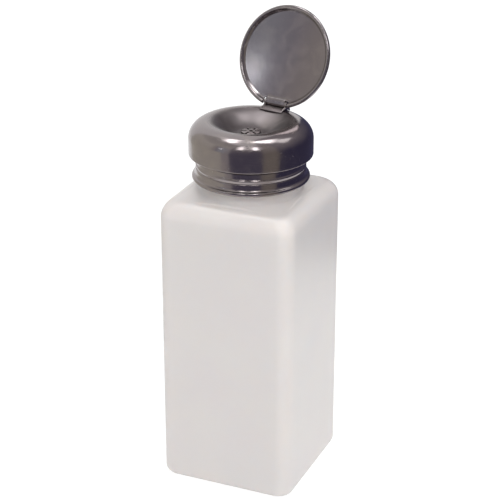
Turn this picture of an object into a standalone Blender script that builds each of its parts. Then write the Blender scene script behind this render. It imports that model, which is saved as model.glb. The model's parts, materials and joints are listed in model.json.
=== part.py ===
"""A square solvent bottle with a press-down pump head and a hinged round lid.

The bottle stands on the XY plane with its neck on the Z axis. The pump hangs in the neck: a
flanged barrel with a ball valve at each end of its flow path, a sprung piston on a hollow stem,
and a spun steel head whose dished top catches the solvent. A spun collar screws the pump down,
and the lid's knuckle turns on a pin in a bracket behind the dish. Metres, +Z up.
"""

import math

import bmesh
import bpy
from mathutils import Matrix, Vector

MM = 0.001
PART_NAME = "pump_bottle"

# Clearances
SEAT_GAP = 0.15 * MM
SIDE_GAP = 0.30 * MM
RUNNING_GAP = 0.15 * MM
CUT_OVERRUN = 4.0 * MM
MERGE_DISTANCE = 0.01 * MM

# Bottle
BODY_WIDTH = 52.0 * MM
BODY_EDGE_RADIUS = 5.5 * MM
BASE_EDGE_RADIUS = 3.5 * MM
SHOULDER_HEIGHT = 112.2 * MM
SHOULDER_ROUND_HEIGHT = 6.5 * MM
SHOULDER_ROUND_INSET = 5.2 * MM
SHOULDER_RISE = 2.4 * MM
NECK_FLARE = 2.0 * MM
NECK_RADIUS = 17.7 * MM
THREAD_DEPTH = 0.5 * MM
NECK_HEIGHT = 6.8 * MM
NECK_WALL = 1.8 * MM
LIP_CHAMFER = 0.4 * MM
BOTTLE_WALL = 1.2 * MM
BOTTLE_CORNER_STEPS = 8
BOTTLE_ROUND_STEPS = 4

# Closure
GASKET_THICKNESS = 0.9 * MM
FLANGE_THICKNESS = 1.6 * MM
STEEL_SHEET = 0.6 * MM
LINER_WALL = 0.95 * MM
COLLAR_EDGE_RADIUS = 0.9 * MM
COLLAR_DROP = 7.15 * MM
COLLAR_BEAD_RADIUS = 0.85 * MM
COLLAR_BEAD_REACH = 1.25 * MM
LINER_DROP = 7.55 * MM

# Barrel and inlet valve
BARREL_BORE_RADIUS = 6.5 * MM
BARREL_WALL = 1.0 * MM
BARREL_DEPTH = 36.0 * MM
INLET_BALL_RADIUS = 1.8 * MM
INLET_BALL_LIFT = 1.2 * MM
INLET_CHAMBER_GAP = 0.5 * MM
INLET_THROAT_RADIUS = 1.1 * MM
INLET_THROAT_LENGTH = 1.0 * MM
RETAINER_THICKNESS = 0.8 * MM
RETAINER_HOLE_RADIUS = 0.8 * MM
RETAINER_PORT_RADIUS = 0.7 * MM
RETAINER_PORT_PLACE = 2.3 * MM
RETAINER_PORTS = 4
SOCKET_DEPTH = 8.0 * MM
SOCKET_WALL = 1.1 * MM
DIP_TUBE_RADIUS = 2.0 * MM
DIP_TUBE_BORE_RADIUS = 1.3 * MM
DIP_TUBE_FLOOR_GAP = 3.0 * MM

# Stem, piston, bushing and seal
STEM_RADIUS = 3.0 * MM
STEM_BORE_RADIUS = 1.0 * MM
STEM_FLANGE_RADIUS = 4.8 * MM
STEM_GROOVE_DEPTH = 0.5 * MM
STEM_FOOT_RADIUS = 5.2 * MM
STEM_FOOT_THICKNESS = 1.1 * MM
BUSHING_LENGTH = 10.5 * MM
BUSHING_FLANGE_RADIUS = 8.2 * MM
BUSHING_FLANGE_THICKNESS = 0.9 * MM
BUSHING_RIM = 1.0 * MM
STEM_SEAL_THICKNESS = 1.3 * MM
PISTON_HEIGHT = 7.0 * MM
PISTON_LIP_HEIGHT = 1.4 * MM
PISTON_WAIST_DEPTH = 1.1 * MM
PISTON_TOP_GAP = 0.5 * MM
OUTLET_BALL_RADIUS = 1.6 * MM
OUTLET_BALL_LIFT = 1.0 * MM
OUTLET_CHAMBER_GAP = 0.4 * MM

# Return spring
SPRING_RADIUS = 4.4 * MM
SPRING_WIRE_RADIUS = 0.4 * MM
SPRING_END_GAP = 0.6 * MM
SPRING_TURNS = 7
SPRING_POINTS_PER_TURN = 8

# Head
HEAD_TURN_DEG = 9.4
HEAD_STROKE = 6.0 * MM
HEAD_OVERHANG = 2.4 * MM
LIP_ABOVE_COLLAR = 1.25 * MM
LIP_ROUND = 0.45 * MM
HEAD_WALL_HEIGHT = 5.8 * MM
HEAD_ROUND_HEIGHT = 6.4 * MM
HEAD_ROUND_WIDTH = 6.8 * MM
DISH_DEPTH = 4.7 * MM
DISH_FLAT_RADIUS = 4.2 * MM
HEAD_ROUND_STEPS = 7
DISH_STEPS = 6
DISH_WASHER_THICKNESS = 0.5 * MM
ROSETTE_RADIUS = 3.5 * MM
ROSETTE_THICKNESS = 0.6 * MM
ROSETTE_BORE_RADIUS = 0.8 * MM
ROSETTE_SPIGOT_LENGTH = 3.2 * MM
ROSETTE_SLOT_WIDTH = 0.7 * MM
ROSETTE_SLOT_START = 1.5 * MM
ROSETTE_SLOTS = 6

# Lid and hinge
LID_OPEN_DEG = 110.7
LID_OVERLAP = 3.03 * MM
LID_BEAD_RADIUS = 0.75 * MM
LID_SHEET = 0.5 * MM
LID_CROWN = 0.8 * MM
LID_REST_GAP = 0.15 * MM
HINGE_BEHIND_RIDGE = 1.4 * MM
PIN_ABOVE_RIM = 0.93 * MM
PIN_RADIUS = 0.42 * MM
PIN_HEAD_RADIUS = 0.8 * MM
PIN_HEAD_THICKNESS = 0.3 * MM
TONGUE_WIDTH = 7.5 * MM
TONGUE_SHEET = 0.4 * MM
KNUCKLE_GAP = 0.12 * MM
KNUCKLE_TURN_DEG = 285.0
TONGUE_ROOT = 4.6 * MM
TONGUE_BEND = 2.3 * MM
EAR_THICKNESS = 0.6 * MM
EAR_RADIUS = 1.1 * MM
BRACKET_FRONT = 4.4 * MM
BRACKET_BACK = 2.0 * MM
BRACKET_SOLE = 0.35 * MM

# Facets round a turned piece
FINE_STEPS = 44
MEDIUM_STEPS = 36
SMALL_STEPS = 18

# Places worked out from the sizes
NECK_ROOT_Z = SHOULDER_HEIGHT + SHOULDER_RISE
NECK_LIP_Z = NECK_ROOT_Z + NECK_HEIGHT
NECK_BORE_RADIUS = NECK_RADIUS - NECK_WALL
LINER_BORE_RADIUS = NECK_RADIUS + THREAD_DEPTH + SIDE_GAP
COLLAR_RADIUS = LINER_BORE_RADIUS + LINER_WALL + SEAT_GAP + STEEL_SHEET
HEAD_RADIUS = COLLAR_RADIUS + HEAD_OVERHANG
GASKET_Z = NECK_LIP_Z + SEAT_GAP
FLANGE_Z = GASKET_Z + GASKET_THICKNESS + SEAT_GAP
BARREL_TOP_Z = FLANGE_Z + FLANGE_THICKNESS
COLLAR_UNDER_Z = BARREL_TOP_Z + SEAT_GAP
COLLAR_TOP_Z = COLLAR_UNDER_Z + STEEL_SHEET
COLLAR_BEAD_Z = COLLAR_TOP_Z - COLLAR_DROP
LEDGE_Z = BARREL_TOP_Z - BARREL_DEPTH
RETAINER_Z = LEDGE_Z + SEAT_GAP
RETAINER_TOP_Z = RETAINER_Z + RETAINER_THICKNESS
HEAD_LIP_Z = COLLAR_TOP_Z + LIP_ABOVE_COLLAR
HEAD_SPRING_Z = HEAD_LIP_Z + HEAD_WALL_HEIGHT
RIDGE_Z = HEAD_SPRING_Z + HEAD_ROUND_HEIGHT
RIDGE_RADIUS = HEAD_RADIUS - HEAD_ROUND_WIDTH
LID_RADIUS = RIDGE_RADIUS + LID_OVERLAP
HINGE_DISTANCE = RIDGE_RADIUS + HINGE_BEHIND_RIDGE
DISH_Z = RIDGE_Z - DISH_DEPTH
DISH_UNDER_Z = DISH_Z - STEEL_SHEET
WASHER_TOP_Z = DISH_UNDER_Z - SEAT_GAP
STEM_TOP_Z = WASHER_TOP_Z - DISH_WASHER_THICKNESS - SEAT_GAP
ROSETTE_Z = DISH_Z + SEAT_GAP
SPIGOT_END_Z = DISH_UNDER_Z - ROSETTE_SPIGOT_LENGTH
OUTLET_CHAMBER_RADIUS = OUTLET_BALL_RADIUS + OUTLET_CHAMBER_GAP
SPIGOT_RADIUS = OUTLET_CHAMBER_RADIUS - RUNNING_GAP
OUTLET_BALL_Z = SPIGOT_END_Z - SEAT_GAP - OUTLET_BALL_LIFT - OUTLET_BALL_RADIUS
INLET_BALL_Z = RETAINER_Z - SEAT_GAP - INLET_BALL_LIFT - INLET_BALL_RADIUS
INLET_CHAMBER_RADIUS = INLET_BALL_RADIUS + INLET_CHAMBER_GAP
BUSHING_Z = BARREL_TOP_Z + SEAT_GAP
BUSHING_END_Z = BUSHING_Z - BUSHING_LENGTH
BUSHING_TOP_Z = BUSHING_Z + BUSHING_FLANGE_THICKNESS
STEM_STOP_Z = BUSHING_TOP_Z + SEAT_GAP + HEAD_STROKE
SEAL_TOP_Z = BUSHING_END_Z + STEM_SEAL_THICKNESS
PISTON_TOP_Z = BUSHING_END_Z - PISTON_TOP_GAP
PISTON_END_Z = PISTON_TOP_Z - PISTON_HEIGHT
STEM_FOOT_Z = PISTON_END_Z - SEAT_GAP
STEM_END_Z = STEM_FOOT_Z - STEM_FOOT_THICKNESS
EAR_INSIDE = TONGUE_WIDTH / 2 + SIDE_GAP
EAR_OUTSIDE = EAR_INSIDE + EAR_THICKNESS
KNUCKLE_MEAN_RADIUS = PIN_RADIUS + KNUCKLE_GAP + TONGUE_SHEET / 2
KNUCKLE_RADIUS = PIN_RADIUS + KNUCKLE_GAP + TONGUE_SHEET
NOTCH_HALF_WIDTH = EAR_OUTSIDE + SEAT_GAP + PIN_HEAD_THICKNESS + SIDE_GAP
NOTCH_REACH = EAR_RADIUS + SIDE_GAP


def arc(centre, radii, start_deg, end_deg, steps):
    """Points of an elliptical arc, ends included, as (across, up) pairs."""
    points = []
    for step in range(steps + 1):
        angle = math.radians(start_deg + (end_deg - start_deg) * step / steps)
        points.append(
            (
                centre[0] + radii[0] * math.cos(angle),
                centre[1] + radii[1] * math.sin(angle),
            )
        )
    return points


def seat_height(throat_radius, ball_radius):
    """How far a ball's centre lies above the edge of a throat that a 45 degree cone leads to."""
    return math.sqrt(2) * (ball_radius + SEAT_GAP) - throat_radius


def head_surface(radius):
    """Height of the head's outer rounding at a distance from the axis."""
    across = (radius - RIDGE_RADIUS) / HEAD_ROUND_WIDTH
    return HEAD_SPRING_Z + HEAD_ROUND_HEIGHT * math.sqrt(max(0, 1 - across * across))


def closed_rim_height():
    """Height at which the closed lid's bead rests on the head's rounding, found by bisection."""
    reach = LID_BEAD_RADIUS + LID_REST_GAP
    bead_centre = LID_RADIUS - LID_BEAD_RADIUS
    low, high = 0.0, 90.0
    for _ in range(40):
        angle = math.radians((low + high) / 2)
        slope_across = math.sin(angle) / HEAD_ROUND_WIDTH
        slope_up = math.cos(angle) / HEAD_ROUND_HEIGHT
        length = math.hypot(slope_across, slope_up)
        across = RIDGE_RADIUS + HEAD_ROUND_WIDTH * math.sin(angle) + reach * slope_across / length
        if across < bead_centre:
            low = math.degrees(angle)
        else:
            high = math.degrees(angle)
    return HEAD_SPRING_Z + HEAD_ROUND_HEIGHT * math.cos(angle) + reach * slope_up / length


RIM_Z = closed_rim_height()
PIN_Z = RIM_Z + PIN_ABOVE_RIM


def lid_floor(radius):
    """Height of the middle of the closed lid's sheet at a distance from its centre."""
    edge = LID_RADIUS - 2 * LID_BEAD_RADIUS
    return PIN_Z - LID_SHEET / 2 + LID_CROWN * (1 - (radius / edge) ** 2)


def clear_scene():
    """Removes every object, so the script starts from nothing."""
    for old in list(bpy.data.objects):
        bpy.data.objects.remove(old, do_unlink=True)


def new_collection(name):
    """A collection linked to the scene."""
    collection = bpy.data.collections.new(name)
    bpy.context.scene.collection.children.link(collection)
    return collection


def material(name, colour, roughness, metallic):
    """A Principled material with one colour."""
    made = bpy.data.materials.new(name)
    made.use_nodes = True
    shader = made.node_tree.nodes["Principled BSDF"]
    shader.inputs["Base Color"].default_value = (*colour, 1.0)
    shader.inputs["Roughness"].default_value = roughness
    shader.inputs["Metallic"].default_value = metallic
    return made


def add_object(name, mesh, parent=None):
    """An object in the part's collection, under a parent where it has one."""
    made = bpy.data.objects.new(name, mesh)
    PARTS.objects.link(made)
    made.parent = parent
    return made


def add_empty(name, location=(0, 0, 0), rotation=(0, 0, 0), parent=None):
    """An empty that carries the pieces of a moving group on its joint's axis."""
    made = bpy.data.objects.new(name, None)
    PARTS.objects.link(made)
    made.location = location
    made.rotation_euler = rotation
    made.parent = parent
    return made


def settle(target, sharp_deg=35):
    """Keeps the mesh that the modifiers make, and shades its round faces smooth."""
    bpy.context.view_layer.update()
    evaluated = target.evaluated_get(bpy.context.evaluated_depsgraph_get())
    mesh = bpy.data.meshes.new_from_object(evaluated)
    target.modifiers.clear()
    target.data = mesh
    mesh.shade_smooth()
    mesh.set_sharp_from_angle(angle=math.radians(sharp_deg))
    return target


def signed_area(outline):
    """Area inside a closed outline, positive when it runs anticlockwise."""
    total = 0.0
    for (x0, y0), (x1, y1) in zip(outline, outline[1:] + outline[:1]):
        total += x0 * y1 - x1 * y0
    return total / 2


def screw(target, steps):
    """Turns an outline at +X once round the Z axis."""
    turn = target.modifiers.new("Turn", "SCREW")
    turn.axis = "Z"
    turn.angle = math.tau
    turn.steps = steps
    turn.render_steps = steps
    turn.use_merge_vertices = True
    turn.merge_threshold = MERGE_DISTANCE


def turned(name, outline, steps, parent=None):
    """A piece turned from a closed outline of (radius, height) pairs off the axis."""
    if signed_area(outline) > 0:
        outline = outline[::-1]
    mesh = bpy.data.meshes.new(name)
    edges = [(index, (index + 1) % len(outline)) for index in range(len(outline))]
    mesh.from_pydata([(radius, 0, height) for radius, height in outline], edges, [])
    made = add_object(name, mesh, parent)
    screw(made, steps)
    return settle(made)


def box_cutter(name, low, high, parent=None, matrix=None):
    """A hidden box between two corners, for cutting with."""
    mesh = bpy.data.meshes.new(name)
    work = bmesh.new()
    bmesh.ops.create_cube(work, size=1)
    low, high = Vector(low), Vector(high)
    size = high - low
    bmesh.ops.scale(work, vec=size, verts=work.verts)
    bmesh.ops.translate(work, vec=(low + high) / 2, verts=work.verts)
    if matrix is not None:
        bmesh.ops.transform(work, matrix=matrix, verts=work.verts)
    work.to_mesh(mesh)
    work.free()
    return hide_cutter(name, mesh, parent)


def rod_cutter(name, radius, length, matrix, steps, parent=None):
    """A hidden rod about its own Z axis, placed by a matrix."""
    mesh = bpy.data.meshes.new(name)
    work = bmesh.new()
    bmesh.ops.create_cone(
        work,
        cap_ends=True,
        segments=steps,
        radius1=radius,
        radius2=radius,
        depth=length,
        matrix=matrix,
    )
    work.to_mesh(mesh)
    work.free()
    return hide_cutter(name, mesh, parent)


def hide_cutter(name, mesh, parent=None):
    """Puts a cutter's mesh in the cutters' collection, out of sight."""
    made = bpy.data.objects.new(name, mesh)
    CUTTERS.objects.link(made)
    made.parent = parent
    made.hide_render = True
    made.display_type = "WIRE"
    return made


def boolean(target, other, operation="DIFFERENCE"):
    """Cuts or joins one object with another by a Boolean modifier."""
    change = target.modifiers.new(operation.title(), "BOOLEAN")
    change.operation = operation
    change.object = other
    change.solver = "EXACT"


def paint(target, finish):
    """Gives a piece its one material."""
    target.data.materials.clear()
    target.data.materials.append(finish)


def rounded_square(half_width, radius, height):
    """A ring of points round a square with round corners, its flat sides at the half width."""
    half_step = math.pi / 4 / BOTTLE_CORNER_STEPS
    inset = half_width - radius * math.cos(half_step)
    points = []
    for corner in range(4):
        centre_angle = math.pi / 4 + corner * math.pi / 2
        across = math.copysign(inset, math.cos(centre_angle))
        along = math.copysign(inset, math.sin(centre_angle))
        for step in range(BOTTLE_CORNER_STEPS):
            angle = corner * math.pi / 2 + half_step * (2 * step + 1)
            points.append(
                (
                    across + radius * math.cos(angle),
                    along + radius * math.sin(angle),
                    height,
                )
            )
    return points


def circle(radius, height):
    """The same ring with no straight sides left."""
    half_step = math.pi / 4 / BOTTLE_CORNER_STEPS
    return rounded_square(radius, radius / math.cos(half_step), height)


def body_rings(wall):
    """Rings of the bottle's outside, or of its inside where a wall is given, base first."""
    half = BODY_WIDTH / 2 - wall
    edge = BODY_EDGE_RADIUS - wall / 2
    base = BASE_EDGE_RADIUS - wall / 2
    rings = []
    for inset, rise in arc((0, wall + base), (base, base), -90, 0, BOTTLE_ROUND_STEPS):
        rings.append(rounded_square(half - base + inset, edge - base / 2 + inset / 2, rise))
    start = SHOULDER_HEIGHT - SHOULDER_ROUND_HEIGHT - wall
    round_radii = (SHOULDER_ROUND_INSET, SHOULDER_ROUND_HEIGHT)
    corner = (half - SHOULDER_ROUND_INSET, start)
    for width, rise in arc(corner, round_radii, 0, 90, BOTTLE_ROUND_STEPS + 1):
        rings.append(rounded_square(width, edge, rise))
    width = half - SHOULDER_ROUND_INSET
    rise = SHOULDER_HEIGHT - wall
    flare = NECK_RADIUS + NECK_FLARE - wall
    middle = (width + flare) / 2
    rings.append(rounded_square(middle, (edge + flare) / 2, rise + SHOULDER_RISE / 4))
    rings.append(circle(flare, rise + SHOULDER_RISE / 2))
    return rings


def make_bottle():
    """The blow-moulded bottle: square sections lofted into a round neck, outside and inside."""
    rings = body_rings(0)
    rings.append(circle(NECK_RADIUS + NECK_FLARE / 4, NECK_ROOT_Z - SHOULDER_RISE / 6))
    rings.append(circle(NECK_RADIUS, NECK_ROOT_Z + SHOULDER_RISE / 4))
    rings.append(circle(NECK_RADIUS, NECK_LIP_Z - LIP_CHAMFER))
    rings.append(circle(NECK_RADIUS - LIP_CHAMFER, NECK_LIP_Z))
    rings.append(circle(NECK_BORE_RADIUS, NECK_LIP_Z))
    rings.append(circle(NECK_BORE_RADIUS, NECK_ROOT_Z - SHOULDER_RISE / 4))
    rings.extend(reversed(body_rings(BOTTLE_WALL)))
    work = bmesh.new()
    loops = [[work.verts.new(point) for point in ring] for ring in rings]
    count = len(loops[0])
    for lower, upper in zip(loops, loops[1:]):
        for index in range(count):
            after = (index + 1) % count
            work.faces.new((lower[index], lower[after], upper[after], upper[index]))
    work.faces.new(reversed(loops[0]))
    work.faces.new(loops[-1])
    mesh = bpy.data.meshes.new("bottle")
    work.to_mesh(mesh)
    work.free()
    mesh.shade_smooth()
    mesh.set_sharp_from_angle(angle=math.radians(35))
    made = add_object("bottle", mesh)
    paint(made, NATURAL_PLASTIC)


def make_gasket():
    """The foam ring between the neck's lip and the barrel's flange."""
    top = GASKET_Z + GASKET_THICKNESS
    inner = NECK_BORE_RADIUS
    outline = [(inner, top), (NECK_RADIUS, top), (NECK_RADIUS, GASKET_Z), (inner, GASKET_Z)]
    made = turned("neck_gasket", outline, MEDIUM_STEPS)
    paint(made, FOAM)


def collar_bead_centre():
    """Middle of the rolled bead along the collar's lower edge."""
    return COLLAR_RADIUS + COLLAR_BEAD_REACH - COLLAR_BEAD_RADIUS, COLLAR_BEAD_Z


def make_collar():
    """The spun steel collar: holed top, short straight wall and rolled bead."""
    inner = COLLAR_RADIUS - STEEL_SHEET
    hole = BUSHING_FLANGE_RADIUS + SIDE_GAP
    edge = COLLAR_EDGE_RADIUS
    under = edge - STEEL_SHEET
    centre = (COLLAR_RADIUS - edge, COLLAR_TOP_Z - edge)
    bead = collar_bead_centre()
    rolled = (COLLAR_BEAD_RADIUS, COLLAR_BEAD_RADIUS)
    join_deg = math.degrees(math.acos((COLLAR_RADIUS - bead[0]) / COLLAR_BEAD_RADIUS))
    outline = [(hole, COLLAR_TOP_Z)]
    outline += arc(centre, (edge, edge), 90, 0, 4)
    outline += arc(bead, rolled, join_deg, -join_deg, 8)
    outline.append((inner, COLLAR_BEAD_Z))
    outline += arc(centre, (under, under), 0, 90, 2)
    outline.append((hole, COLLAR_UNDER_Z))
    made = turned("screw_collar", outline, FINE_STEPS)
    paint(made, STEEL)


def make_liner():
    """The plastic ring pressed into the collar, bored to clear the neck's thread."""
    inner = LINER_BORE_RADIUS
    outer = inner + LINER_WALL
    bottom = COLLAR_TOP_Z - LINER_DROP
    top = COLLAR_UNDER_Z - SEAT_GAP
    outline = [(inner, bottom), (inner, top), (outer - LIP_CHAMFER, top)]
    outline += [(outer, top - LIP_CHAMFER), (outer, bottom)]
    made = turned("collar_liner", outline, MEDIUM_STEPS)
    paint(made, BLACK_PLASTIC)


def make_barrel():
    """The pump barrel: flange, bore, ball seat and dip tube socket in one moulding."""
    bore = BARREL_BORE_RADIUS
    outer = bore + BARREL_WALL
    socket = DIP_TUBE_RADIUS + SEAT_GAP
    socket_outer = socket + SOCKET_WALL
    throat_top = INLET_BALL_Z - seat_height(INLET_THROAT_RADIUS, INLET_BALL_RADIUS)
    throat_end = throat_top - INLET_THROAT_LENGTH
    seat_top = throat_top + INLET_CHAMBER_RADIUS - INLET_THROAT_RADIUS
    end = throat_end - SOCKET_DEPTH
    chamber_outer = INLET_CHAMBER_RADIUS + BARREL_WALL
    outline = [
        (bore, BARREL_TOP_Z),
        (NECK_RADIUS, BARREL_TOP_Z),
        (NECK_RADIUS, FLANGE_Z),
        (outer + BARREL_WALL, FLANGE_Z),
        (outer, FLANGE_Z - BARREL_WALL),
        (outer, LEDGE_Z - BARREL_WALL),
        (chamber_outer + BARREL_WALL, LEDGE_Z - 2 * BARREL_WALL),
        (max(chamber_outer, socket_outer), seat_top),
        (socket_outer, throat_top),
        (socket_outer, end),
        (socket, end),
        (socket, throat_end),
        (INLET_THROAT_RADIUS, throat_end),
        (INLET_THROAT_RADIUS, throat_top),
        (INLET_CHAMBER_RADIUS, seat_top),
        (INLET_CHAMBER_RADIUS, LEDGE_Z),
        (bore, LEDGE_Z),
    ]
    made = turned("pump_barrel", outline, SMALL_STEPS + 8)
    paint(made, CLEAR_PLASTIC)
    return throat_end


def make_dip_tube(top):
    """The dip tube, pushed up its socket and cut at a slant just above the bottle's floor."""
    end = BOTTLE_WALL + DIP_TUBE_FLOOR_GAP
    start = top - SEAT_GAP
    outline = [
        (DIP_TUBE_BORE_RADIUS, start),
        (DIP_TUBE_RADIUS, start),
        (DIP_TUBE_RADIUS, end),
        (DIP_TUBE_BORE_RADIUS, end),
    ]
    made = turned("dip_tube", outline, SMALL_STEPS)
    reach = DIP_TUBE_RADIUS + CUT_OVERRUN
    slant = Matrix.Translation((0, -DIP_TUBE_RADIUS, end)) @ Matrix.Rotation(math.radians(45), 4, "X")
    low = (-reach, -reach, -2 * reach)
    high = (reach, 2 * reach, 0)
    boolean(made, box_cutter("dip_tube_slant", low, high, matrix=slant))
    paint(made, CLEAR_PLASTIC)


def make_ball(name, radius, height, parent=None):
    """A check valve's steel ball, its origin at its middle."""
    mesh = bpy.data.meshes.new(name)
    work = bmesh.new()
    bmesh.ops.create_uvsphere(work, u_segments=14, v_segments=8, radius=radius)
    work.to_mesh(mesh)
    work.free()
    mesh.shade_smooth()
    made = add_object(name, mesh, parent)
    made.location = (0, 0, height)
    paint(made, BALL_STEEL)


def make_retainer():
    """The disc over the inlet ball, with a ring of ports, that the spring stands on."""
    outer = BARREL_BORE_RADIUS - SIDE_GAP
    outline = [
        (RETAINER_HOLE_RADIUS, RETAINER_TOP_Z),
        (outer, RETAINER_TOP_Z),
        (outer, RETAINER_Z),
        (RETAINER_HOLE_RADIUS, RETAINER_Z),
    ]
    made = turned("ball_retainer", outline, SMALL_STEPS)
    middle = (RETAINER_TOP_Z + RETAINER_Z) / 2
    for port in range(RETAINER_PORTS):
        angle = math.tau * (port + 1 / 2) / RETAINER_PORTS
        place = (
            RETAINER_PORT_PLACE * math.cos(angle),
            RETAINER_PORT_PLACE * math.sin(angle),
            middle,
        )
        cutter = rod_cutter(
            f"retainer_port_{port + 1}",
            RETAINER_PORT_RADIUS,
            RETAINER_THICKNESS + CUT_OVERRUN,
            Matrix.Translation(place),
            SMALL_STEPS // 2,
        )
        boolean(made, cutter)
    paint(made, NATURAL_PLASTIC)


def spring_points():
    """Points up the spring's helix, with its two end turns wound close and flat."""
    bottom = RETAINER_TOP_Z + SEAT_GAP + SPRING_WIRE_RADIUS
    top = STEM_END_Z - SEAT_GAP - SPRING_WIRE_RADIUS
    close_pitch = 2 * SPRING_WIRE_RADIUS + SPRING_END_GAP
    open_turns = SPRING_TURNS - 2
    open_pitch = (top - bottom - 2 * close_pitch) / open_turns
    points = []
    height = bottom
    for step in range(SPRING_TURNS * SPRING_POINTS_PER_TURN + 1):
        turn = step / SPRING_POINTS_PER_TURN
        angle = math.tau * turn
        points.append(Vector((SPRING_RADIUS * math.cos(angle), SPRING_RADIUS * math.sin(angle), height)))
        at_end = turn < 1 or turn >= SPRING_TURNS - 1
        height += (close_pitch if at_end else open_pitch) / SPRING_POINTS_PER_TURN
    return points


def least_gap(points):
    """Least distance between one turn of the wire and the next, measured on points."""
    least = None
    for index, point in enumerate(points):
        for other in points[index + SPRING_POINTS_PER_TURN // 2 :]:
            gap = (point - other).length - 2 * SPRING_WIRE_RADIUS
            least = gap if least is None else min(least, gap)
    return least


def make_spring():
    """The return spring, one unbroken wire in the barrel under the stem's foot."""
    points = spring_points()
    curve = bpy.data.curves.new("return_spring", "CURVE")
    curve.dimensions = "3D"
    curve.bevel_depth = SPRING_WIRE_RADIUS
    curve.bevel_resolution = 1
    curve.use_fill_caps = True
    spline = curve.splines.new("POLY")
    spline.points.add(len(points) - 1)
    for slot, point in zip(spline.points, points):
        slot.co = (*point, 1.0)
    made = add_object("return_spring", curve)
    paint(made, BALL_STEEL)
    print(f"return_spring: least gap between turns {least_gap(points) / MM:.2f} mm")


def make_bushing():
    """The stem's guide, in the barrel's mouth, recessed below for the stem seal."""
    outer = BARREL_BORE_RADIUS - RUNNING_GAP
    bore = STEM_RADIUS + RUNNING_GAP
    recess = outer - BUSHING_RIM
    top = BUSHING_TOP_Z
    outline = [
        (bore, top),
        (BUSHING_FLANGE_RADIUS - SEAT_GAP, top),
        (BUSHING_FLANGE_RADIUS, top - SEAT_GAP),
        (BUSHING_FLANGE_RADIUS, BUSHING_Z),
        (outer, BUSHING_Z),
        (outer, BUSHING_END_Z),
        (recess, BUSHING_END_Z),
        (recess, SEAL_TOP_Z),
        (bore, SEAL_TOP_Z),
    ]
    made = turned("stem_bushing", outline, SMALL_STEPS + 8)
    paint(made, NATURAL_PLASTIC)


def make_stem_seal():
    """The lipped ring that wipes the stem, in the recess under the bushing."""
    outer = BARREL_BORE_RADIUS - RUNNING_GAP - BUSHING_RIM - SEAT_GAP
    inner = STEM_RADIUS + RUNNING_GAP
    top = SEAL_TOP_Z - SEAT_GAP
    groove = (outer + inner) / 2
    outline = [
        (inner, top),
        (outer, top),
        (outer, BUSHING_END_Z),
        (groove + SEAT_GAP, BUSHING_END_Z),
        (groove, BUSHING_END_Z + STEM_SEAL_THICKNESS / 3),
        (groove - SEAT_GAP, BUSHING_END_Z),
        (inner, BUSHING_END_Z),
    ]
    made = turned("stem_seal", outline, SMALL_STEPS)
    paint(made, BLACK_PLASTIC)


def make_piston():
    """The piston: a lip at each end that wipes the barrel, and a waist between them."""
    lip = BARREL_BORE_RADIUS - RUNNING_GAP
    waist = lip - PISTON_WAIST_DEPTH
    bore = STEM_RADIUS - STEM_GROOVE_DEPTH + RUNNING_GAP
    taper = PISTON_LIP_HEIGHT / 2
    outline = [
        (bore, PISTON_TOP_Z - SEAT_GAP),
        (waist, PISTON_TOP_Z - taper),
        (lip - RUNNING_GAP, PISTON_TOP_Z),
        (lip, PISTON_TOP_Z - RUNNING_GAP),
        (lip, PISTON_TOP_Z - taper),
        (waist, PISTON_TOP_Z - PISTON_LIP_HEIGHT - taper),
        (waist, PISTON_END_Z + PISTON_LIP_HEIGHT + taper),
        (lip, PISTON_END_Z + taper),
        (lip, PISTON_END_Z + RUNNING_GAP),
        (lip - RUNNING_GAP, PISTON_END_Z),
        (STEM_FOOT_RADIUS, PISTON_END_Z),
        (bore, PISTON_END_Z),
    ]
    made = turned("piston", outline, SMALL_STEPS + 8)
    paint(made, NATURAL_PLASTIC)


def make_stem(parent):
    """The hollow stem: foot, piston groove, outlet valve seat and the head's flange that stops it."""
    groove = STEM_RADIUS - STEM_GROOVE_DEPTH
    shoulder_z = PISTON_TOP_Z
    throat_z = OUTLET_BALL_Z - seat_height(STEM_BORE_RADIUS, OUTLET_BALL_RADIUS)
    seat_z = throat_z + OUTLET_CHAMBER_RADIUS - STEM_BORE_RADIUS
    outline = [
        (OUTLET_CHAMBER_RADIUS, STEM_TOP_Z),
        (STEM_FLANGE_RADIUS, STEM_TOP_Z),
        (STEM_FLANGE_RADIUS, STEM_STOP_Z),
        (STEM_RADIUS, STEM_STOP_Z),
        (STEM_RADIUS, shoulder_z),
        (groove, shoulder_z),
        (groove, STEM_FOOT_Z),
        (STEM_FOOT_RADIUS, STEM_FOOT_Z),
        (STEM_FOOT_RADIUS, STEM_END_Z),
        (STEM_BORE_RADIUS, STEM_END_Z),
        (STEM_BORE_RADIUS, throat_z),
        (OUTLET_CHAMBER_RADIUS, seat_z),
    ]
    made = turned("stem_tube", outline, SMALL_STEPS, parent)
    paint(made, NATURAL_PLASTIC)


def make_dish_washer(parent):
    """The sealing washer between the stem's flange and the dish."""
    bottom = WASHER_TOP_Z - DISH_WASHER_THICKNESS
    inner = OUTLET_CHAMBER_RADIUS + SEAT_GAP
    outline = [
        (inner, WASHER_TOP_Z),
        (STEM_FLANGE_RADIUS, WASHER_TOP_Z),
        (STEM_FLANGE_RADIUS, bottom),
        (inner, bottom),
    ]
    made = turned("dish_washer", outline, SMALL_STEPS, parent)
    paint(made, BLACK_PLASTIC)


def dish_outline():
    """The dish from the hole in its middle out to the ridge, as a smooth S."""
    points = [(SPIGOT_RADIUS + SIDE_GAP, DISH_Z)]
    for step in range(DISH_STEPS):
        share = step / DISH_STEPS
        radius = DISH_FLAT_RADIUS + (RIDGE_RADIUS - DISH_FLAT_RADIUS) * share
        points.append((radius, DISH_Z + DISH_DEPTH * (1 - math.cos(math.pi * share)) / 2))
    return points


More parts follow.
